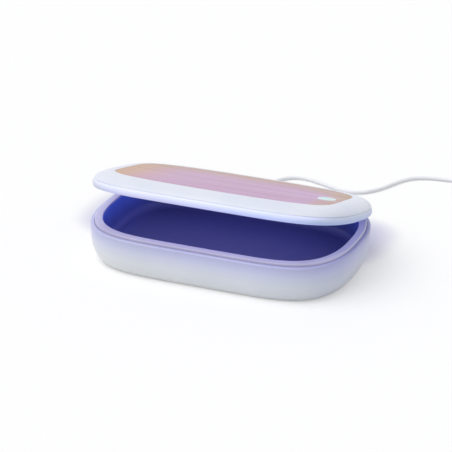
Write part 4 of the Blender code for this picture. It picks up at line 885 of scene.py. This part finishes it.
def tub_section():
    """Up the drawn-in wall from the bottom's round, over the ledge and the shoulder, and down inside."""
    section = []
    for share in np.linspace(0, 1, 9)[:-1]:
        height = FOOT_PROUD + BOTTOM_ROUND * share**2
        section.append((wall_inset(height) + BOTTOM_ROUND * (1 - share) ** 2, height))
    foot = FOOT_PROUD + BOTTOM_ROUND
    for share in np.linspace(0, 1, 26):
        height = between(foot, LEDGE_HEIGHT - LEDGE_ROUND, share**WALL_STEP_POWER)
        section.append((wall_inset(height), height))
    section += bend((LEDGE_ROUND, LEDGE_HEIGHT - LEDGE_ROUND), LEDGE_ROUND, 8, 180, 90)[1:]
    inner = LEDGE_WIDTH + SHOULDER_WIDTH
    under = SHOULDER_HEIGHT - SHOULDER_THICKNESS
    section += [(LEDGE_WIDTH - SEAT_EDGE, LEDGE_HEIGHT), (LEDGE_WIDTH, LEDGE_HEIGHT - SEAT_EDGE)]
    section += [(LEDGE_WIDTH, SHOULDER_HEIGHT), (inner, SHOULDER_HEIGHT), (inner, under)]
    for share in np.linspace(0, 1, 14):
        height = between(under - (inner - SHELL_WALL), SHELL_INNER_FLOOR + BOTTOM_ROUND, share)
        section.append((wall_inset(height) + SHELL_WALL, height))
    section.append((wall_inset(SHELL_INNER_FLOOR) + SHELL_WALL + BOTTOM_ROUND, SHELL_INNER_FLOOR))
    return section


def tub_towers():
    """The screw towers under the tray, and for each the stepped way of its foot, screw head and screw."""
    recess_top = FOOT_PROUD + FOOT_RECESS_DEPTH
    head_room = recess_top + SCREW_HEAD_HEIGHT + GAP
    floor = LINER_UNDER - STUD_LENGTH - GAP
    bore = STUD_RADIUS + GAP
    tower = stepped(floor, (bore + SOCKET_WALL, FOOT_PROUD + SHELL_FLOOR / 2), (bore, LINER_UNDER - GAP))
    runs = ((FOOT_RADIUS + GAP, FOOT_PROUD - OVERRUN), (HEAD_BORE, recess_top), (SCREW_BORE, head_room))
    way = stepped(floor + OVERRUN / 4, *runs)
    centres = corner_places(FOOT_INSET)
    return at_each(centres, "tower", tower, 32), at_each(centres, "way", way)


def hinge_bays(low, high):
    """Cutters that clear the hinge cheeks, between two heights."""
    half, front = CHEEKS_HALF_WIDTH + GAP, NOTCH_FRONT - SEAM_ROOT - GAP
    return [block("bay", (x - half, front, low), (x + half, BODY_HALF_WIDTH, high)) for x in KNUCKLES]


def tub_hinges():
    """For each knuckle the solid cheeks beside it, the notch in which it turns and the bore for its pin."""
    cheeks, notches, bores = [], [], []
    above, behind = AXIS_Z + KNUCKLE_RADIUS + OVERRUN, BODY_HALF_WIDTH + OVERRUN
    sweep = bend((AXIS_Y, AXIS_Z), KNUCKLE_REACH, 14, 180, 270)
    profile = [(NOTCH_FRONT, above)] + sweep + [(behind, AXIS_Z - KNUCKLE_REACH), (behind, above)]
    for x in KNUCKLES:
        start, end = x - CHEEKS_HALF_WIDTH, x + CHEEKS_HALF_WIDTH
        back = rear_edge(abs(x) + CHEEKS_HALF_WIDTH) - SHELL_WALL / 2
        low = (start, NOTCH_FRONT - SEAM_ROOT, AXIS_Z - KNUCKLE_REACH - HINGE_CHEEK / 2)
        cheeks.append(block("cheek", low, (end, back, LEDGE_HEIGHT - GAP)))
        notches.append(prism("notch", x - NOTCH_HALF_WIDTH, x + NOTCH_HALF_WIDTH, profile))
        bores.append(rod("bore", start - PIN_RELIEF, end + PIN_RELIEF, PIN_BORE))
    return cheeks, notches, bores


def tub_port():
    """The thickened wall at the plug, the plug's pocket and the window for the socket."""
    wide = PLUG_HALF_WIDTH + PORT_MARGIN
    inside, outside = PORT_FACE - PORT_WALL, PORT_FACE + SHELL_WALL / 2
    sunk, above = SHELL_INNER_FLOOR - GAP, SOCKET_HEIGHT + PLUG_HALF_HEIGHT + PORT_MARGIN
    profile = [(inside, sunk), (PORT_FACE - GAP, sunk), (outside, PORT_SLOPE_TOP)]
    profile += [(outside, above), (inside, above)]
    port = prism("port", SOCKET_X - wide, SOCKET_X + wide, profile)
    clear = (PLUG_HALF_WIDTH + PLUG_CLEARANCE, PLUG_HALF_HEIGHT + PLUG_CLEARANCE)
    pocket = solid("pocket", [stadium(*clear, y) for y in (PORT_FACE, BODY_HALF_WIDTH + OVERRUN)])
    small = (SOCKET_HALF_WIDTH + GAP, SOCKET_HALF_HEIGHT + GAP)
    ends = (inside - OVERRUN / 2, PORT_FACE + OVERRUN / 2)
    window = solid("window", [stadium(*small, y) for y in ends])
    return port, pocket, window


def make_tub():
    """The tub: one run of rings, with its screw towers, hinge cheeks and port."""
    tub = solid("base_tub", rings_of(tub_section()))
    towers, ways = tub_towers()
    cheeks, notches, bores = tub_hinges()
    port, pocket, window = tub_port()
    cuts = (("cut", ways + notches + [pocket]), ("cut", bores + [window]))
    carve(tub, ("add", towers + [port]), ("add", cheeks), *cuts)
    settle(tub, "base", base_white(), "base_shell", slot="shell_white")


def make_rim():
    """The frame round the chamber's mouth: one closed section carried round the body's outline."""
    outer = LEDGE_WIDTH + GAP
    foot = SHOULDER_HEIGHT + GAP
    section = [(outer, foot)]
    section += bend((outer + LIP_SOFT_ROUND, PIECE_TOP - LIP_SOFT_ROUND), LIP_SOFT_ROUND, 9, 180, 90)
    section += bend((RIM_WIDTH - LIP_ROUND, PIECE_TOP - LIP_ROUND), LIP_ROUND, 7, 90, 0)
    section += [(RIM_WIDTH, FRAME_UNDER), (outer + FRAME_SKIRT, FRAME_UNDER), (outer + FRAME_SKIRT, foot)]
    rim = solid("rim_ring", rings_of(section), closed=True)
    low, high = SHOULDER_HEIGHT - OVERRUN, PIECE_TOP + OVERRUN
    bays = hinge_bays(low, FRAME_UNDER + GAP / 3)
    half = NOTCH_HALF_WIDTH
    ends = [((x - half, NOTCH_FRONT, low), (x + half, BODY_HALF_WIDTH, high)) for x in KNUCKLES]
    carve(rim, ("cut", bays), ("cut", [block("notch", *end) for end in ends]))
    settle(rim, "base", rim_violet_white(), "rim_frame", slot="rim_white")


def make_tray():
    """The chamber's tray: floor, quarter-round, drafted wall, flange and the same again outside."""
    inner_foot = LINER_MOUTH_INSET + LINER_DRAFT
    outer_foot = inner_foot - LINER_WALL
    small, big = CHAMBER_ROUND, CHAMBER_ROUND + LINER_WALL
    flange_inset = LEDGE_WIDTH + GAP + FRAME_SKIRT + GAP
    flange_foot = LINER_TOP - LINER_FLANGE
    section = bend((inner_foot + small, CHAMBER_FLOOR_HEIGHT + small), small, 14, 270, 180)
    section += [(LINER_MOUTH_INSET, LINER_TOP - GAP), (LINER_MOUTH_INSET - GAP, LINER_TOP)]
    section += [(flange_inset, LINER_TOP), (flange_inset, flange_foot)]
    section.append((LINER_MOUTH_INSET - LINER_WALL, flange_foot))
    section += bend((outer_foot + big, LINER_UNDER + big), big, 12, 180, 270)
    tray = solid("chamber_tray", rings_of(section))
    foot = LINER_UNDER - STUD_LENGTH
    stud = stepped(LINER_UNDER + LINER_WALL / 2, (STUD_RADIUS, foot))
    pilot = stepped(LINER_UNDER + LINER_WALL / 4, (SCREW_BORE, foot - OVERRUN))
    centres = corner_places(FOOT_INSET)
    studs = at_each(centres, "stud", stud, 32)
    bays = hinge_bays(flange_foot - OVERRUN, LINER_TOP + OVERRUN)
    carve(tray, ("add", studs), ("cut", at_each(centres, "pilot", pilot, 24) + bays))
    settle(tray, "base", chamber_blue(), "chamber_liner", slot="chamber_navy")


def make_feet():
    """Rubber discs with a rounded edge and three shallow rings that grip the table."""
    rubber = plain("pale_rubber", (158, 160, 166), 0.85, grain=900, bump=0.3)
    profile = [(GRIP_WIDTH, GRIP_DEPTH)]
    for start in GRIP_STARTS:
        flat, end = start + GRIP_SLOPE, start + GRIP_SLOPE + GRIP_WIDTH
        profile += [(start, GRIP_DEPTH), (flat, 0), (end, 0), (end + GRIP_SLOPE, GRIP_DEPTH)]
    profile += bend((FOOT_RADIUS - FOOT_ROUND, FOOT_ROUND), FOOT_ROUND, 6, -90, 0)
    profile.append((FOOT_RADIUS, FOOT_PROUD + FOOT_RECESS_DEPTH - GAP))
    names = ("left_front", "left_rear", "right_front", "right_rear")
    for name, centre in zip(names, corner_places(FOOT_INSET)):
        foot = turned(f"rubber_foot_{name}", centre, profile, 64)
        settle(foot, "base", rubber, f"foot_{name}", slot="foot_rubber")


# Lid


def band_inset(height):
    """The band bulges out: b ((z - middle) / half height)^2."""
    return BAND_BULGE * ((height - BAND_MIDDLE) / (BAND_HEIGHT / 2)) ** 2


def make_relief():
    """A cutter about the hinge axis, whose radius at x is the reach of the base's rear edge there."""
    last = BODY_HALF_LENGTH * (1 - (AXIS_Y / BODY_HALF_WIDTH) ** SIDE_POWER) ** (1 / END_POWER)
    stations = []
    for x in np.linspace(-last, last, 49):
        behind = max(rear_edge(x) - AXIS_Y, 0) + SWING_GAP
        stations.append((x, math.hypot(behind, AXIS_DROP + SWING_GAP)))
    return spindle("relief", stations)


def band_section():
    """The lower cover from its roof over the lip and the bottom edge, up the band to the seam's step."""
    chamfer = RING_CHAMFER * CHAMFER_MIDDLE_SHARE
    inner = ROOF_STEP_INSET + ROOF_RISE
    section = [(inner, ROOF_UNDER)]
    section.append((ROOF_STEP_INSET + ROOF_RISE / 2, ROOF_UNDER - ROOF_RISE * ROOF_CURVE_SHARE))
    section += [(ROOF_STEP_INSET, LIP_ROOF), (LEDGE_WIDTH, LIP_ROOF)]
    section.append((LEDGE_WIDTH, LID_BOTTOM + RING_CHAMFER))
    section += [(LEDGE_WIDTH - chamfer, LID_BOTTOM + chamfer), (LEDGE_WIDTH - RING_CHAMFER, LID_BOTTOM)]
    section.append((LID_EDGE_INSET, LID_BOTTOM))
    for share in BAND_SHARES:
        height = LID_BOTTOM + BAND_HEIGHT * share
        soft = BAND_EDGE * max(1 - share / BAND_EDGE_SHARE, 0) ** 2
        section.append((band_inset(height) + soft, height))
    step = LID_EDGE_INSET + RING_WIDTH
    return section + [(band_inset(BAND_TOP) + SEAM_SHOWN, BAND_TOP), (step, BAND_TOP), (step, ROOF_TOP)]


def make_band():
    """The lower cover, its knuckles on their webs, the pins' bores, and the ways of lamps and screws."""
    band = solid("lid_band", rings_of(band_section()))
    knuckles, webs, cuts = [], [], []
    half = KNUCKLE_RADIUS * math.cos(math.radians(30))
    front, rear = AXIS_Y - half, AXIS_Y + half
    middle = ROOF_UNDER + ROOF_THICKNESS / 2
    web = [(front, AXIS_Z), (rear, AXIS_Z), (rear, middle), (front, middle)]
    for x in KNUCKLES:
        start, end = x - KNUCKLE_WIDTH / 2, x + KNUCKLE_WIDTH / 2
        knuckles.append(rod("knuckle", start, end, KNUCKLE_RADIUS, 48))
        webs.append(prism("web", start + GAP / 3, end - GAP / 3, web))
        cuts.append(rod("bore", start - OVERRUN, end + OVERRUN, PIN_BORE))
    low, high = ROOF_UNDER - OVERRUN, ROOF_TOP + OVERRUN
    cuts += at_each([(x, 0) for _, x in LAMPS], "lamp_hole", stepped(high, (LENS_RADIUS + GAP, low)), 64)
    way = stepped(high, (HEAD_BORE, low), (SCREW_BORE, ROOF_TOP - LID_SCREW_SEAT))
    cuts += at_each(corner_places(LID_SCREW_INSET), "screw_way", way, 40)
    carve(band, ("cut", [make_relief()]), ("add", knuckles), ("add", webs), ("cut", cuts))
    settle(band, "lid", band_white(), "lid_lower_cover", slot="band_white")


def cover_section():
    """Up inside from the recess's plate to the tongue at the seam, then out and over to the bamboo's recess.

    Outside it is a quarter ellipse, whose outline turns from the body's to the bamboo's as 1 - cos a.
    """
    rise = LID_TOP - BAND_MIDDLE
    first = math.degrees(math.asin((COVER_BOTTOM + BAND_EDGE - BAND_MIDDLE) / rise))
    start_inset = SHOULDER_REACH * (1 - math.cos(math.radians(first)))
    foot = BAND_TOP + SEAM_SHOWN
    tongue = LID_EDGE_INSET + RING_WIDTH + GAP
    inner_reach = SHOULDER_REACH - COVER_WALL
    inner_rise = rise - COVER_WALL
    start = math.degrees(math.acos((SHOULDER_REACH - tongue - TONGUE_WIDTH) / inner_reach))
    stop = math.degrees(math.asin((COVER_UNDER - BAND_MIDDLE) / inner_rise))
    section = []
    for a in arc(6, stop, start):
        section.append((SHOULDER_REACH - inner_reach * math.cos(a), BAND_MIDDLE + inner_rise * math.sin(a)))
    section += [(tongue + TONGUE_WIDTH, ROOF_TOP + GAP), (tongue, ROOF_TOP + GAP), (tongue, foot)]
    section += [(start_inset + SEAM_SHOWN, foot), (start_inset, foot + SEAM_SHOWN)]
    for a in arc(26, first, 90):
        section.append((0, BAND_MIDDLE + rise * math.sin(a), 1 - math.cos(a)))
    section += [(GAP / 4, LID_TOP - GAP / 6, 1), (GAP / 4, RECESS_FLOOR, 1)]
    return section


def button_hole(low, high):
    """A cutter for the hole in which the button slides."""
    return turned("hole", (BUTTON_X, BUTTON_Y), stepped(high, (BUTTON_RADIUS + GAP, low)), 72)


def make_shoulder():
    """The top cover with its screw bosses and the button's hole."""
    cover = solid("lid_shoulder", rings_of(cover_section()))
    boss = stepped(COVER_UNDER + RECESS_PLATE / 2, (LID_BOSS_RADIUS, ROOF_TOP + GAP))
    pilot = stepped(COVER_UNDER + RECESS_PLATE / 4, (SCREW_BORE, ROOF_TOP - OVERRUN))
    centres = corner_places(LID_SCREW_INSET)
    cuts = at_each(centres, "pilot", pilot, 24) + [button_hole(COVER_UNDER - OVERRUN, LID_TOP + OVERRUN)]
    carve(cover, ("add", at_each(centres, "boss", boss, 32)), ("cut", cuts))
    settle(cover, "lid", shoulder_white(), "lid_top_cover", slot="shoulder_white")


def make_inlay():
    """The bamboo panel: a flat plate in the panel's outline with a hair of a bevel on its top edge."""
    low = RECESS_FLOOR + GAP
    bevel = PANEL_EDGE * CHAMFER_MIDDLE_SHARE
    section = [(GAP * 1.5, low, 1), (GAP, low + PANEL_EDGE, 1), (GAP, LID_TOP - PANEL_EDGE, 1)]
    section += [(GAP + bevel, LID_TOP - bevel, 1), (GAP + PANEL_EDGE, LID_TOP, 1)]
    panel = solid("bamboo_inlay", rings_of(section))
    carve(panel, ("cut", [button_hole(low - OVERRUN, LID_TOP + OVERRUN)]))
    settle(panel, "lid", bamboo(), "bamboo_panel", slot="bamboo")


def make_lamp_windows():
    """Each window: a turned lens with a rounded face, a stepped edge and a blind bore for the diode."""
    glass = lamp_glass()
    flange = ROOF_TOP + GAP
    profile = [(LENS_DIMPLE, ROOF_UNDER)]
    profile += bend((LENS_RADIUS - LENS_ROUND, ROOF_UNDER + LENS_ROUND), LENS_ROUND, 8, -90, 0)
    runs = ((LENS_FLANGE_RADIUS, flange), (LENS_BORE_RADIUS, flange + LENS_FLANGE_HEIGHT))
    profile += [(LENS_RADIUS, flange)] + stepped(ROOF_UNDER + LENS_FACE, *runs)
    for side, x in LAMPS:
        lens = turned(f"lamp_window_{side}", (x, 0), profile, 64)
        settle(lens, "lid", glass, f"uv_lens_{side}", slot="lamp_glass")


def make_button():
    """The cap: a turned, crowned face over a hollow with a post, and the flange that keeps it in."""
    flange = COVER_UNDER - GAP
    under, edge = BUTTON_TOP - BUTTON_SKIN, BUTTON_TOP - BUTTON_EDGE_DROP
    runs = [(BUTTON_POST_RADIUS, under - BUTTON_POST_DROP), (BUTTON_RADIUS - BUTTON_WALL, under)]
    runs += [(BUTTON_FLANGE_RADIUS, flange - BUTTON_FLANGE_HEIGHT), (BUTTON_RADIUS, flange)]
    profile = stepped(edge, *runs) + bend((BUTTON_RADIUS - BUTTON_ROUND, edge), BUTTON_ROUND, 7, 0, 80)
    for share in BUTTON_CROWN_STEPS:
        drop = BUTTON_CROWN * BUTTON_CROWN_SHARE * share**2
        profile.append((BUTTON_RADIUS * share, BUTTON_TOP - drop))
    cap = turned("button_cap", (BUTTON_X, BUTTON_Y), profile, 96)
    settle(cap, "button", button_white(), "power_button", slot="button_white")


def make_button_mark():
    """The power sign on the cap: a flat ring, r = R +- w, open at the rear, with a bar in the opening."""
    top = BUTTON_TOP - MARK_SINK
    low, high = top - MARK_DEPTH, top + MARK_DEPTH
    inner, outer = MARK_RADIUS - MARK_HALF_WIDTH, MARK_RADIUS + MARK_HALF_WIDTH
    t = arc(64, *MARK_ARC)
    rings = []
    for r, height in ((inner, low), (inner, high), (outer, high), (outer, low)):
        rings.append(stack(BUTTON_X + r * np.cos(t), BUTTON_Y + r * np.sin(t), height))
    loop = solid("mark_ring", np.stack(rings, axis=1))
    start, end = (BUTTON_Y + y for y in MARK_BAR)
    left, right = BUTTON_X - MARK_HALF_WIDTH, BUTTON_X + MARK_HALF_WIDTH
    bar = block("mark_bar", (left, start, low), (right, end, high))
    settle(fuse("button_mark", [loop, bar]), "button", mark_green(), slot="button_white")


# Cable and plugs


def smooth_curve(points, steps):
    """Catmull-Rom: b + (c - a) t / 2 + (2a - 5b + 4c - d) t^2 / 2 + (3b - a - 3c + d) t^3 / 2."""
    points = np.asarray(points, float)
    padded = np.concatenate([[2 * points[0] - points[1]], points, [2 * points[-1] - points[-2]]])
    t = (np.arange(steps) / steps)[None, :, None]
    before, start, end, after = (padded[k : k + len(points) - 1, None] for k in range(4))
    bow = (end - before) * t + (2 * before - 5 * start + 4 * end - after) * t**2
    bow = bow + (3 * start - before - 3 * end + after) * t**3
    return np.concatenate([(start + bow / 2).reshape(-1, 3), points[-1:]])


def coil_centre():
    """The coil's middle: a straight bit past the route's end and a radius in front of it."""
    return np.array(CABLE_ROUTE[-1]) + np.array([COIL_STRAIGHT + CABLE_EXIT_GAP, -COIL_OUTER_RADIUS, 0])


def coil_points(steps):
    """A spiral in on the floor and out on top: radius inner + pitch |turns - half|, rising midway."""
    start, centre = np.array(CABLE_ROUTE[-1]), coil_centre()
    turns = np.linspace(0, COIL_TURNS, COIL_TURNS * steps + 1)
    radius = COIL_INNER_RADIUS + COIL_PITCH * np.abs(turns - COIL_TURNS / 2)
    rise = COIL_LAYER_RISE * ease(np.clip((turns - COIL_TURNS / 2) * 2 + 1 / 2, 0, 1))
    angle = math.tau / 4 - math.tau * turns
    x, y = centre[0] + radius * np.cos(angle), centre[1] + radius * np.sin(angle)
    tilt = TIE_LIFT * (start[1] - y) / (2 * COIL_OUTER_RADIUS)
    points = stack(x, y, start[2] + rise + tilt)
    straight = np.array([COIL_STRAIGHT, 0, 0])
    return np.concatenate([[points[0] - straight], points, [points[-1] + straight]])


def tail_points(start):
    """A quarter circle from the top of the coil round to the far plug, sinking to the plug's middle."""
    drop = FAR_PLUG_HALF_HEIGHT + FAR_PLUG_REST - start[2]
    shares = np.linspace(0, 1, TAIL_POINTS)
    x = start[0] + TAIL_RADIUS * np.sin(shares * math.tau / 4)
    y = start[1] - TAIL_RADIUS * (1 - np.cos(shares * math.tau / 4))
    return stack(x, y, start[2] + drop * ease(shares))


def make_lead():
    """The cable from plug to plug as one round tube along its route, its coil and its tail."""
    coil = coil_points(48)
    tail = tail_points(coil[-1] + np.array([CABLE_EXIT_GAP, 0, 0]))
    points = np.concatenate([smooth_curve(CABLE_ROUTE, 4), coil, tail])
    curve = bpy.data.curves.new("usb_lead", "CURVE")
    curve.dimensions = "3D"
    curve.bevel_depth = CABLE_RADIUS
    curve.bevel_resolution = 5
    curve.use_fill_caps = True
    spline = curve.splines.new("POLY")
    spline.points.add(len(points) - 1)
    spline.points.foreach_set("co", np.column_stack([points, np.ones(len(points))]).ravel())
    spline.use_smooth = True
    lead = place("usb_lead", curve)
    jacket = plain("white_cable_jacket", (248, 249, 255), 0.42, grain=1800, bump=0.12, vary=0.03)
    curve.materials.append(jacket.material)
    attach(lead, "base")
    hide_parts("usb_cable", "cable_coil", "cable_tail")
    length = float(np.linalg.norm(np.diff(points, axis=0), axis=1).sum())
    return lead, points, length


def make_near_plug(white):
    """The plug at the box: a stadium section that swells, tapers and turns into a grooved round relief."""
    face = PORT_FACE + GAP
    body_end = face + PLUG_LENGTH
    full = np.array([PLUG_HALF_WIDTH, PLUG_HALF_HEIGHT])
    rings = []
    for a in arc(6, 0, 90):
        soft = PLUG_CLEARANCE * (1 - math.sin(a))
        rings.append(stadium(*(full - soft), face + PLUG_CLEARANCE * (1 - math.cos(a))))
    for share in np.linspace(0, 1, 12):
        width, height = between(full, RELIEF_RADIUS, ease(share))
        rings.append(stadium(max(width, height), height, body_end + PLUG_TAPER_LENGTH * share))
    for share in np.linspace(0, 1, 41)[1:]:
        groove = RELIEF_GROOVE * max(math.sin(share * math.tau * RELIEF_GROOVES), 0) * (1 - share)
        radius = between(RELIEF_RADIUS, COLLAR_RADIUS, share) - groove
        rings.append(stadium(radius, radius, body_end + PLUG_TAPER_LENGTH + RELIEF_LENGTH * share))
    return settle(solid("lead_plug", rings), "base", white, "device_plug", slot="plug_white", sharp=40)


def far_plug_ring(end, along, half_width, half_height, corner):
    """A rounded rectangle square to Y, at a distance along the far plug from the cable's end."""
    low = (end[0] - half_width, end[2] - half_height)
    x, z = rounded(low, (end[0] + half_width, end[2] + half_height), corner).T
    return stack(x, end[1] - CABLE_EXIT_GAP - along, z)


def make_far_plug(end, white):
    """The plug at the far end: rounded sections from the cable's circle to a flat body with soft corners."""
    neck = PLUG_TAPER_LENGTH
    full = np.array([FAR_PLUG_HALF_WIDTH, FAR_PLUG_HALF_HEIGHT, FAR_PLUG_ROUND])
    rings = []
    for share in np.linspace(0, 1, 16):
        radius = between(COLLAR_RADIUS, RELIEF_RADIUS, share)
        rings.append(far_plug_ring(end, neck * share, radius, radius, radius))
    for share in np.linspace(0, 1, 14)[1:]:
        rings.append(far_plug_ring(end, neck * (1 + share), *between(RELIEF_RADIUS, full, ease(share))))
    for a in arc(6, 0, 90):
        along = neck * 2 + FAR_PLUG_LENGTH - PLUG_CLEARANCE * (1 - math.sin(a))
        rings.append(far_plug_ring(end, along, *(full - PLUG_CLEARANCE * (1 - math.cos(a)))))
    return settle(solid("charger_plug", rings), "base", white, "far_plug", slot="plug_white", sharp=40)


def make_strap():
    """The tie: a thin band looped round the coil's bundle, as rounded rectangles square to X."""
    centre = coil_centre()
    clear = CABLE_RADIUS + GAP
    half = TIE_WIDTH / 2
    bow = COIL_INNER_RADIUS - math.sqrt(COIL_INNER_RADIUS**2 - half**2)
    low = np.array([centre[1] - COIL_OUTER_RADIUS + COIL_PITCH / 2 - clear, TIE_FOOT + TIE_THICKNESS])
    top = CABLE_REST_HEIGHT + COIL_LAYER_RISE + TIE_LIFT + clear
    high = np.array([centre[1] - COIL_INNER_RADIUS + bow + clear, top])
    loops = []
    for x, less in ((-half, TIE_SOFT), (-half + TIE_SOFT, 0), (half - TIE_SOFT, 0), (half, TIE_SOFT)):
        outer = (low - TIE_THICKNESS + less, high + TIE_THICKNESS - less)
        loops.append((x, rounded(*outer, TIE_CORNER + TIE_THICKNESS)))
    loops += [(x, rounded(low, high, TIE_CORNER)) for x in (half, -half)]
    rings = [stack(centre[0] + x, *pairs.T) for x, pairs in loops]
    strap = solid("coil_strap", rings, closed=True)
    return settle(strap, "base", strap_weave(), "cable_tie", slot="strap_grey")


def finish_nodes():
    """Finishes of the pieces that keep the model's own shape, by the start of their names."""
    steel = ("hinge_pin", "usb_socket", "device_plug_tongue", "far_plug_tongue")
    for starts, look in (
        (steel, ("bright_steel", (196, 197, 202), 0.25, 1.0, 700, 0.05)),
        (("base_screw", "lid_screw"), ("zinc_plate", (176, 178, 184), 0.34, 1.0, 900, 0.1)),
        (("control_board", "lid_board"), ("green_board", (36, 112, 72), 0.42, 0.0, 600, 0.15, 0.12)),
        (("lid_sensor", "switch_case"), ("black_moulding", (38, 38, 42), 0.5, 0.0, 1500, 0.15)),
        (("keeper_magnet", "lid_magnet"), ("nickel_plate", (172, 174, 178), 0.28, 1.0, 500, 0.04)),
        (("uv_led",), ("diode_ceramic", (232, 230, 220), 0.4)),
        (("uv_board",), ("lamp_board_metal", (206, 207, 212), 0.38, 1.0, 800, 0.06)),
        (("switch_plunger",), ("dark_red_plunger", (120, 54, 48), 0.5)),
    ):
        finish = plain(*look)
        for name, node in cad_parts.items():
            if name.startswith(starts):
                node.data.materials.clear()
                node.data.materials.append(finish.material)


# Stage


def make_floor():
    """A wide pale floor that keeps the shadow and reads white to the camera where nothing shades it.

    The violet spill is painted light and painted shade, strongest where |x/a|^p + |y/b|^p is small, and only
    away from the middle of the length. On the right it lies further back.
    """
    far = FLOOR_HALF
    corners = [(x, y, -FLOOR_DROP) for x, y in ((-far, -far), (far, -far), (far, far), (-far, far))]
    mesh = bpy.data.meshes.new("floor")
    mesh.from_pydata(corners, [], [(0, 1, 2, 3)])
    floor = place("floor", mesh)
    paper = Finish("white_sweep", FLOOR_WHITE, 1.0, Specular_IOR_Level=0.0)
    along = paper.axis("X")
    shift = paper.span(along, 0.0, SPILL_REACH[0], 0.0, SPILL_SHIFT)
    back = paper.math("SUBTRACT", paper.axis("Y"), shift)
    terms = []
    for value, middle, reach in zip((along, back), SPILL_CENTRE, SPILL_REACH):
        terms.append((paper.math("SUBTRACT", value, middle), reach, SPILL_POWER))
    near = paper.span(paper.off_centre(*terms), *SPILL_EDGE, 1.0, 0.0, soft=True)
    end = paper.span(paper.math("ABSOLUTE", along), SPILL_STARTS, SPILL_FULL, soft=True)
    # Painted violet light and painted shade near both ends
    shade = paper.blend(paper.math("MULTIPLY", near, end), FLOOR_WHITE, PAINTED_SPILL_COLOUR)
    paper.colour(shade)
    paper.glow(shade, paper.math("MULTIPLY", paper.seen(), FLOOR_LIFT))
    mesh.materials.append(paper.material)


def make_world():
    """White to the camera and in reflections, and a plain soft light of about half that for all else."""
    world = bpy.data.worlds.new("studio")
    bpy.context.scene.world = world
    world.use_nodes = True
    nodes = Nodes(world.node_tree)
    nodes.tree.nodes.clear()
    choose = nodes.add("MixShader", Fac=nodes.seen())
    for slot, colour, strength in ((1, FILL_COLOUR, FILL_STRENGTH), (2, WHITE, 1.0)):
        light = nodes.add("Background", Color=colour, Strength=strength)
        nodes.feed(choose.inputs[slot], light.outputs[0])
    nodes.add("OutputWorld", Surface=choose.outputs[0])


def make_lights():
    """One large soft light from above the front left, so that the right end is the darker one."""
    lamp = bpy.data.lights.new("key", "SUN")
    lamp.energy = KEY_STRENGTH
    lamp.angle = math.radians(KEY_SPREAD)
    lamp.color = KEY_COLOUR
    place("key", lamp).rotation_euler = [math.radians(a) for a in KEY_TURN]


def main():
    make_camera()
    lead, route, length = make_lead()
    for make in (make_tub, make_rim, make_tray, make_feet, make_band, make_shoulder, make_inlay):
        make()
    for make in (make_lamp_windows, make_button, make_button_mark):
        make()
    white = plain("white_plug_moulding", (236, 238, 247), 0.4, grain=1500, bump=0.12, vary=0.03)
    near_plug = make_near_plug(white)
    far_plug = make_far_plug(route[-1], white)
    strap = make_strap()
    finish_nodes()
    [float(c) for c in route[0]]
    make_floor()
    make_world()
    make_lights()
    bpy.context.scene.view_settings.view_transform = "Standard"


main()
